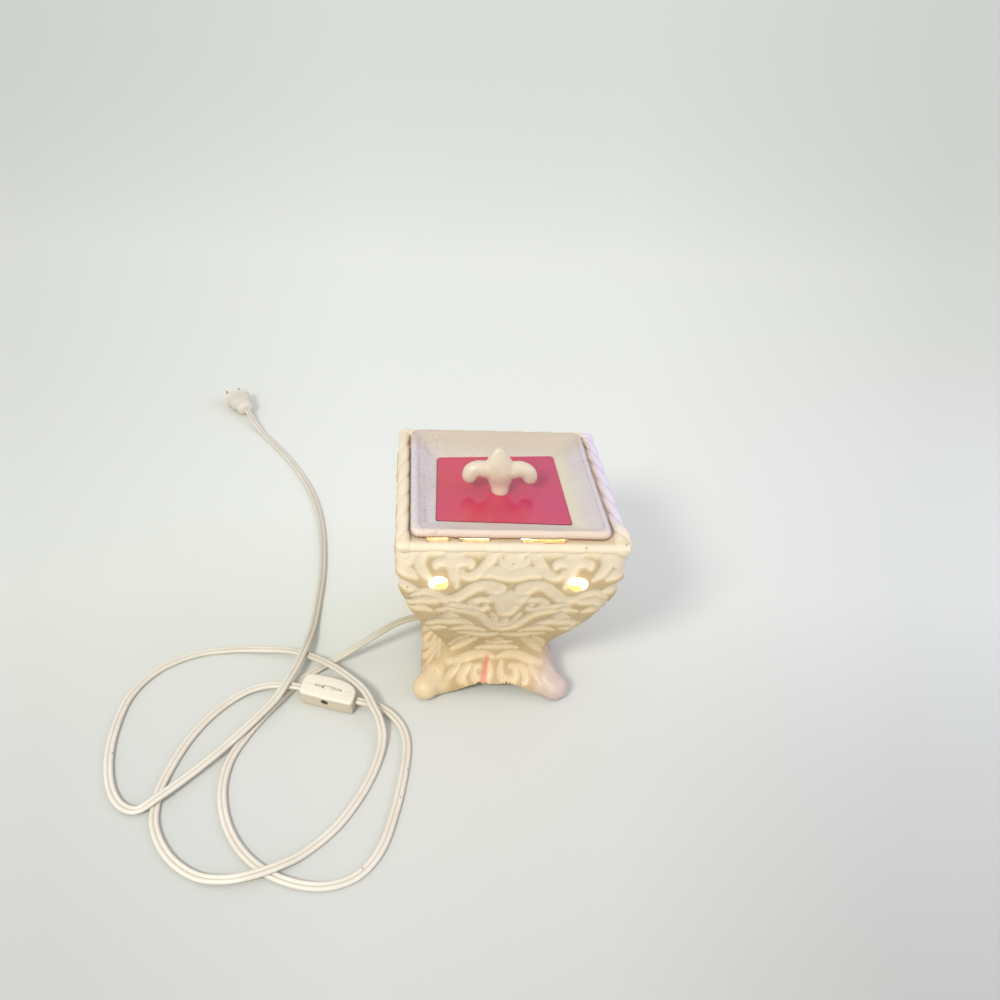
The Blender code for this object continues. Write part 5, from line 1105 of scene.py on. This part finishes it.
# The dish
# A square lift-off dish with a rounded lip and wide sloping sides, cast like the body but in an off-white
# glaze, freckled with dark specks where wax and soot have settled; its lavender grey sides and warm, beige
# and rosy tints are painted coloured light, and a dark line along the lip's lower edge is painted shade.

DISH_PROFILE = [(4, 122.7), (14, 122.7), (29, 122.7), (32, 122.9), (33.4, 124), (40.8, 131.6), (52.4, 138.6),
                (53.4, 138.9), (55.9, 138.9), (56.9, 139.2), (57.4, 140), (57.5, 141), (57.4, 142.3),
                (57.0, 143.3), (56.2, 143.9), (55.2, 144.1), (54.2, 143.8), (53.5, 143.1), (52.8, 142.2),
                (50.5, 141.0), (44.5, 138.5), (41, 137.3), (39.4, 136.9), (38.7, 136.2), (37.2, 132.6),
                (34.6, 129.2), (33.6, 128), (32, 127.7), (20, 127.7), (6, 127.7)]
POOL_HALF, REAR_RISE = 38.8, 2.0


def dish_glaze():
    """Off-white glaze with specks in drifts and painted coloured light: lavender at both sides, warm on the
    right slope, beige at the back and rosy in front; painted shade darkens the lip's lower edge.
    """
    glaze = Finish("speckled_dish_glaze", 26, 850, 0.34)
    across, along = glaze.axis("X"), glaze.axis("Y")
    # These tints are painted coloured light: lavender from the light on the right, warm, beige and rosy from
    # the light at the front left.
    left = glaze.span(across, -0.034, -0.052, 0, 0.5)
    warm = glaze.sum('MULTIPLY', glaze.span(across, 0.030, 0.036, 0, 0.55), glaze.span(across, 0.046, 0.040))
    right = glaze.span(across, 0.040, 0.056, 0, 0.6)
    rear, front = glaze.span(along, 0.034, 0.048, 0, 0.8), glaze.span(along, -0.050, -0.057, 0, 0.8)
    tone = glaze.ramp(glaze.cloud, (0.3, (0.53, 0.47, 0.42)), (0.5, (0.56, 0.505, 0.43)),
                      (0.7, (0.60, 0.55, 0.45)))
    for mask, tint in ((left, (0.62, 0.55, 0.62)), (right, (0.54, 0.49, 0.58)), (warm, (0.62, 0.58, 0.40)),
                       (rear, (0.51, 0.425, 0.32)), (front, (0.70, 0.55, 0.43)),
                       (glaze.carried("edge"), (0.26, 0.12, 0.06))):
        tone = glaze.blend(mask, tone, tint)
    drifts = glaze.span(glaze.sum('ADD', glaze.cloud, left), 0.46, 0.8, 0.0, 0.8)
    tone = glaze.blend(glaze.sum('MULTIPLY', glaze.speck, drifts), tone, (0.2, 0.17, 0.17))
    return glaze.done(tone, glaze.clouds(0.25, 0.4), ((glaze.pits, 0.00015), (glaze.cloud, 0.0006)),
                      translucent(0.1, (4, 3, 3)))


def uneven_pool(x, y):
    """How far a point of the pool's edge lies from a true square in the dish's middle, as cut by hand."""
    u, v = x / POOL_HALF, y / POOL_HALF
    return Vector((-2.6 + 0.7 * u + 0.45 * v - 0.85 * u * v, 0.4 + 0.55 * u - 0.8 * v + 1.75 * u * v, 0))


DISH_GLAZE = dish_glaze()
dish = bmesh.new()
lip_shade_layer = dish.verts.layers.float.new("edge")
rings, values = [], []
for point in smooth_route([(half, height, 0) for half, height in DISH_PROFILE], 1.1):
    half, level = point.x, point.y
    corner, lift = (min(5.0, half * 0.6), 0) if level < 139.2 else (5.2, 1)
    inside = level > 127 and half < 54
    if inside:
        corner = 1.8 + 3.4 * float(soft_step(39, 52, half))
    high = float(soft_step(137, 141, level)) if half > 41 else 0.0
    ring = []
    for x, y, _ in square_ring(half, corner, 0, 56):
        wave = 0.25 * hills.fractal(Vector((x, y, level)) * 0.035, 1.0, 2.0, 2)
        off = uneven_pool(x, y) * float(soft_step(54, 41, half)) if inside else Vector((-0.7, 0, 0))
        rise = lift * wave + REAR_RISE * high * float(soft_step(20, 57, y))
        narrow = 0.99 if x > 0 else 1.0
        place = Vector((x * narrow * (1 + wave * 0.006), y * (1 - wave * 0.006), level + rise))
        ring.append((place + off) * MM)
    rings.append(ring)
    # The "edge" attribute marks the lip's lower outer edge, where painted shade falls against the rim.
    painted_lip_shade = math.exp(-((level - 139.6) / 1.0) ** 2) if half > 55 else 0.0
    values.append([painted_lip_shade] * len(ring))
skin(dish, rings, True, lip_shade_layer, values)
piece_from("wax_dish_glazed", dish, DISH_GLAZE, "dish", ["wax_dish"])


# The fleur-de-lis
# A hand-modelled fleur-de-lis that stands in the middle of the dish and lifts it: a broad middle
# petal and two arms that droop to round ends, softened by the glaze.

WAX_TOP = 136.6
FLEUR_PLACE, FLEUR_LEAN = Vector((-2.9, -3.2, 0)), -0.09
PETAL = [(4.6, -8.6), (5.2, -6), (5.4, -1), (5.6, 0.8), (5.8, 2.8), (6.6, 5.6), (7.8, 8.5), (8.9, 11),
         (9.6, 14), (9.4, 17), (8.5, 20), (7.3, 22.5), (5.7, 25.2), (4.0, 28), (2.4, 30), (0.9, 31)]
PETAL_DEPTH, ARM_DEPTH = 0.66, 0.9
ARM = [(2, 13, 5.2), (8, 15.2, 5.5), (13.4, 15.8, 5.2), (17.0, 13.8, 5.2), (18.2, 11.0, 5.0),
       (18.0, 8.4, 4.3), (17.4, 6.2, 2.0)]


def fleur_glaze():
    """The dish's glaze over a warmer clay: beige, with painted pink light from the wax low down, and a few
    specks.
    """
    glaze = Finish("warm_finial_glaze", 60, 1300, 0.05)
    tone = glaze.ramp(glaze.cloud, (0.3, (0.58, 0.485, 0.345)), (0.7, (0.65, 0.585, 0.455)))
    # Low down the tone turns rosy: painted pink light bounced from the wax.
    tone = glaze.blend(glaze.span(glaze.axis("Z"), 0.150, 0.138, 0, 0.5), tone, (0.64, 0.46, 0.35))
    tone = glaze.blend(glaze.speck, tone, (0.3, 0.24, 0.2))
    return glaze.done(tone, glaze.clouds(0.3, 0.42), ((glaze.pits, 0.00012), (glaze.cloud, 0.0008)),
                      translucent(0.15, (5, 3, 2)))


def in_dish(point):
    """A point of the fleur-de-lis, in mm above the wax, where it stands in the dish, leaning a little."""
    x, y, z = point
    return (Vector((x + FLEUR_LEAN * max(0, z), y, WAX_TOP + z)) + FLEUR_PLACE) * MM


def add_petal(shape):
    """Adds the middle petal, oval in section above the wax."""
    rings = []
    for point in smooth_route([(radius, height, 0) for radius, height in PETAL], 1.2):
        flat = 1 - (1 - PETAL_DEPTH) * float(soft_step(-1, 7, point.y))
        rings.append([in_dish((x, flat * y, point.y)) for x, y in round_section(point.x, 40)])
    skin(shape, rings)


def add_arm(shape, side):
    """Adds an arm: it leaves the petal, arches over and droops to a full, round end."""
    route = smooth_route([(side * out, up, thick) for out, up, thick in ARM], 1.0)
    rings = []
    for number, point in enumerate(route):
        ahead = route[min(number + 1, len(route) - 1)] - route[max(number - 1, 0)]
        out = Vector((0, 1, 0)).cross(Vector((ahead.x, 0, ahead.y)).normalized())
        centre = Vector((point.x, 0, point.y))
        rings.append([in_dish(centre + out * across + Vector((0, ARM_DEPTH, 0)) * deep)
                      for across, deep in round_section(point.z, 32)])
    skin(shape, rings)


fleur = bmesh.new()
add_petal(fleur)
for side in (-1, 1):
    add_arm(fleur, side)
fleur_piece = piece_from("fleur_de_lis", fleur, fleur_glaze(), "dish", ["fleur_finial"])
melded = fleur_piece.modifiers.new("meld", 'REMESH')
melded.mode, melded.voxel_size, melded.use_smooth_shade = 'VOXEL', 0.45 * MM, True
smoothed = fleur_piece.modifiers.new("soften", 'SMOOTH')
smoothed.factor, smoothed.iterations = 0.6, 14
settle(fleur_piece)


# The wax
# The dish's pool of deep pink scented wax, set to a satin skin that creeps up a little at its edges.


def wax_finish():
    """Pink wax, redder towards the left, where it is thinner and warm."""
    made = Finish("pink_scented_wax", 22)
    drift = made.sum('ADD', made.cloud, made.span(made.axis("X"), -0.035, 0.035, -0.12, 0.12))
    tone = made.ramp(drift, (0.36, (0.53, 0.057, 0.085)), (0.5, (0.51, 0.052, 0.103)),
                     (0.64, (0.48, 0.052, 0.122)))
    return made.done(tone, made.clouds(0.05, 0.12), ((made.pits, 0.00004), (made.cloud, 0.0004)),
                     translucent(0.35, (8, 3, 3)))


wax = bmesh.new()
pool = [(31.6, 128.0, 3), (33.2, 128.9, 2.6), (36.4, 132.6, 2), (38.5, 136.75, 1.7), (38.3, 136.85, 1.7),
        (37.8, 136.7, 1.9), (36.8, 136.6, 2.4), (30, 136.6, 5), (16, 136.6, 8), (6.6, 136.6, 6.5),
        (6.0, 136.75, 5.9), (5.5, 136.9, 5.4), (5.4, 128.0, 5.3)]
rings = []
for half, height, corner in pool:
    nearer = float(soft_step(32, 8, half))
    rings.append([(Vector(point) + FLEUR_PLACE * nearer + uneven_pool(point[0], point[1]) * (1 - nearer)) * MM
                  for point in square_ring(half, corner, height, 48)])
skin(wax, rings + [rings[0]], False)
piece_from("wax_pool", wax, wax_finish(), "dish", ["wax_melt"])


# The table, the light and the camera
# A pale table that runs on into the backdrop, under plain soft light, seen from a standing height; its
# tone is painted with shade: darkest a little in front of the body, lighter far behind it, darker towards the
# sides.

TABLE_HALF, TABLE_NEAR, TABLE_FAR = 30.0, -1.1, 0.9
EDGE_PAINTED_SHADE, EDGE_LEAST = 0.13, 0.21
table = bmesh.new()
bmesh.ops.create_grid(table, x_segments=1, y_segments=1, size=TABLE_HALF)
top = Finish("pale_table")
across, along = top.axis("X"), top.axis("Y")
# The tone along the table is painted shade and falloff of light, darkest a little in front of the body.
tone = top.ramp(top.span(along, TABLE_NEAR, TABLE_FAR), (0.0, (0.80, 0.81, 0.75)), (0.25, (0.66, 0.67, 0.62)),
                (0.4, (0.46, 0.465, 0.43)), (0.502, (0.59, 0.60, 0.555)), (0.58, (0.71, 0.725, 0.665)),
                (0.76, (0.80, 0.81, 0.74)), (0.88, (0.865, 0.875, 0.80)), (1.0, (0.92, 0.925, 0.85)))
aside = top.sum('ABSOLUTE', top.sum('SUBTRACT', across, top.sum('MULTIPLY', along, 0.087)))
reach = top.sum('MAXIMUM', top.sum('ADD', top.sum('MULTIPLY', along, 0.48), 0.32), EDGE_LEAST)
# Painted shade darkens the table towards its sides.
edge = top.span(top.sum('DIVIDE', aside, reach), 0.3, 1.0, 0, EDGE_PAINTED_SHADE)
TABLE = top.done(top.blend(edge, tone, (0.0, 0.0, 0.0)), 0.7, ())
mesh = bpy.data.meshes.new("table_top")
table.to_mesh(mesh)
table.free()
mesh.materials.append(TABLE)
mesh.shade_smooth()
table_top = bpy.data.objects.new("table_top", mesh)
bpy.context.scene.collection.objects.link(table_top)

world = bpy.data.worlds.new("soft_room")
bpy.context.scene.world = world
world.use_nodes = True
world.node_tree.nodes["Background"].inputs["Color"].default_value = (0.95, 0.97, 1.0, 1)
world.node_tree.nodes["Background"].inputs["Strength"].default_value = 0.8


def add_lamp(name, place, target, size, power, colour):
    """A soft square light that faces a point."""
    light = bpy.data.lights.new(name, 'AREA')
    light.size, light.energy, light.color = size, power, colour
    holder = bpy.data.objects.new(name, light)
    bpy.context.scene.collection.objects.link(holder)
    holder.location = place
    holder.rotation_euler = (Vector(target) - Vector(place)).to_track_quat('-Z', 'Y').to_euler()


add_lamp("window_left", (-0.55, -0.75, 0.85), (0, 0, 0.07), 0.25, 9.3, (1.0, 0.98, 0.95))
add_lamp("fill_right", (0.8, -0.1, 0.6), (0, 0, 0.07), 0.5, 2.6, (0.76, 0.70, 1.0))

eye = bpy.data.cameras.new("eye")
eye.lens, eye.sensor_width = 28.771, 36
eye.shift_x, eye.shift_y = 0.05, 0.05
viewer = bpy.data.objects.new("eye", eye)
bpy.context.scene.collection.objects.link(viewer)
viewer.location = (-0.06128, -0.41855, 0.40455)
viewer.rotation_euler = [math.radians(angle) for angle in (52.9136, -2.5471, -2.1281)]
bpy.context.scene.camera = viewer
bpy.context.scene.view_settings.view_transform = 'Standard'
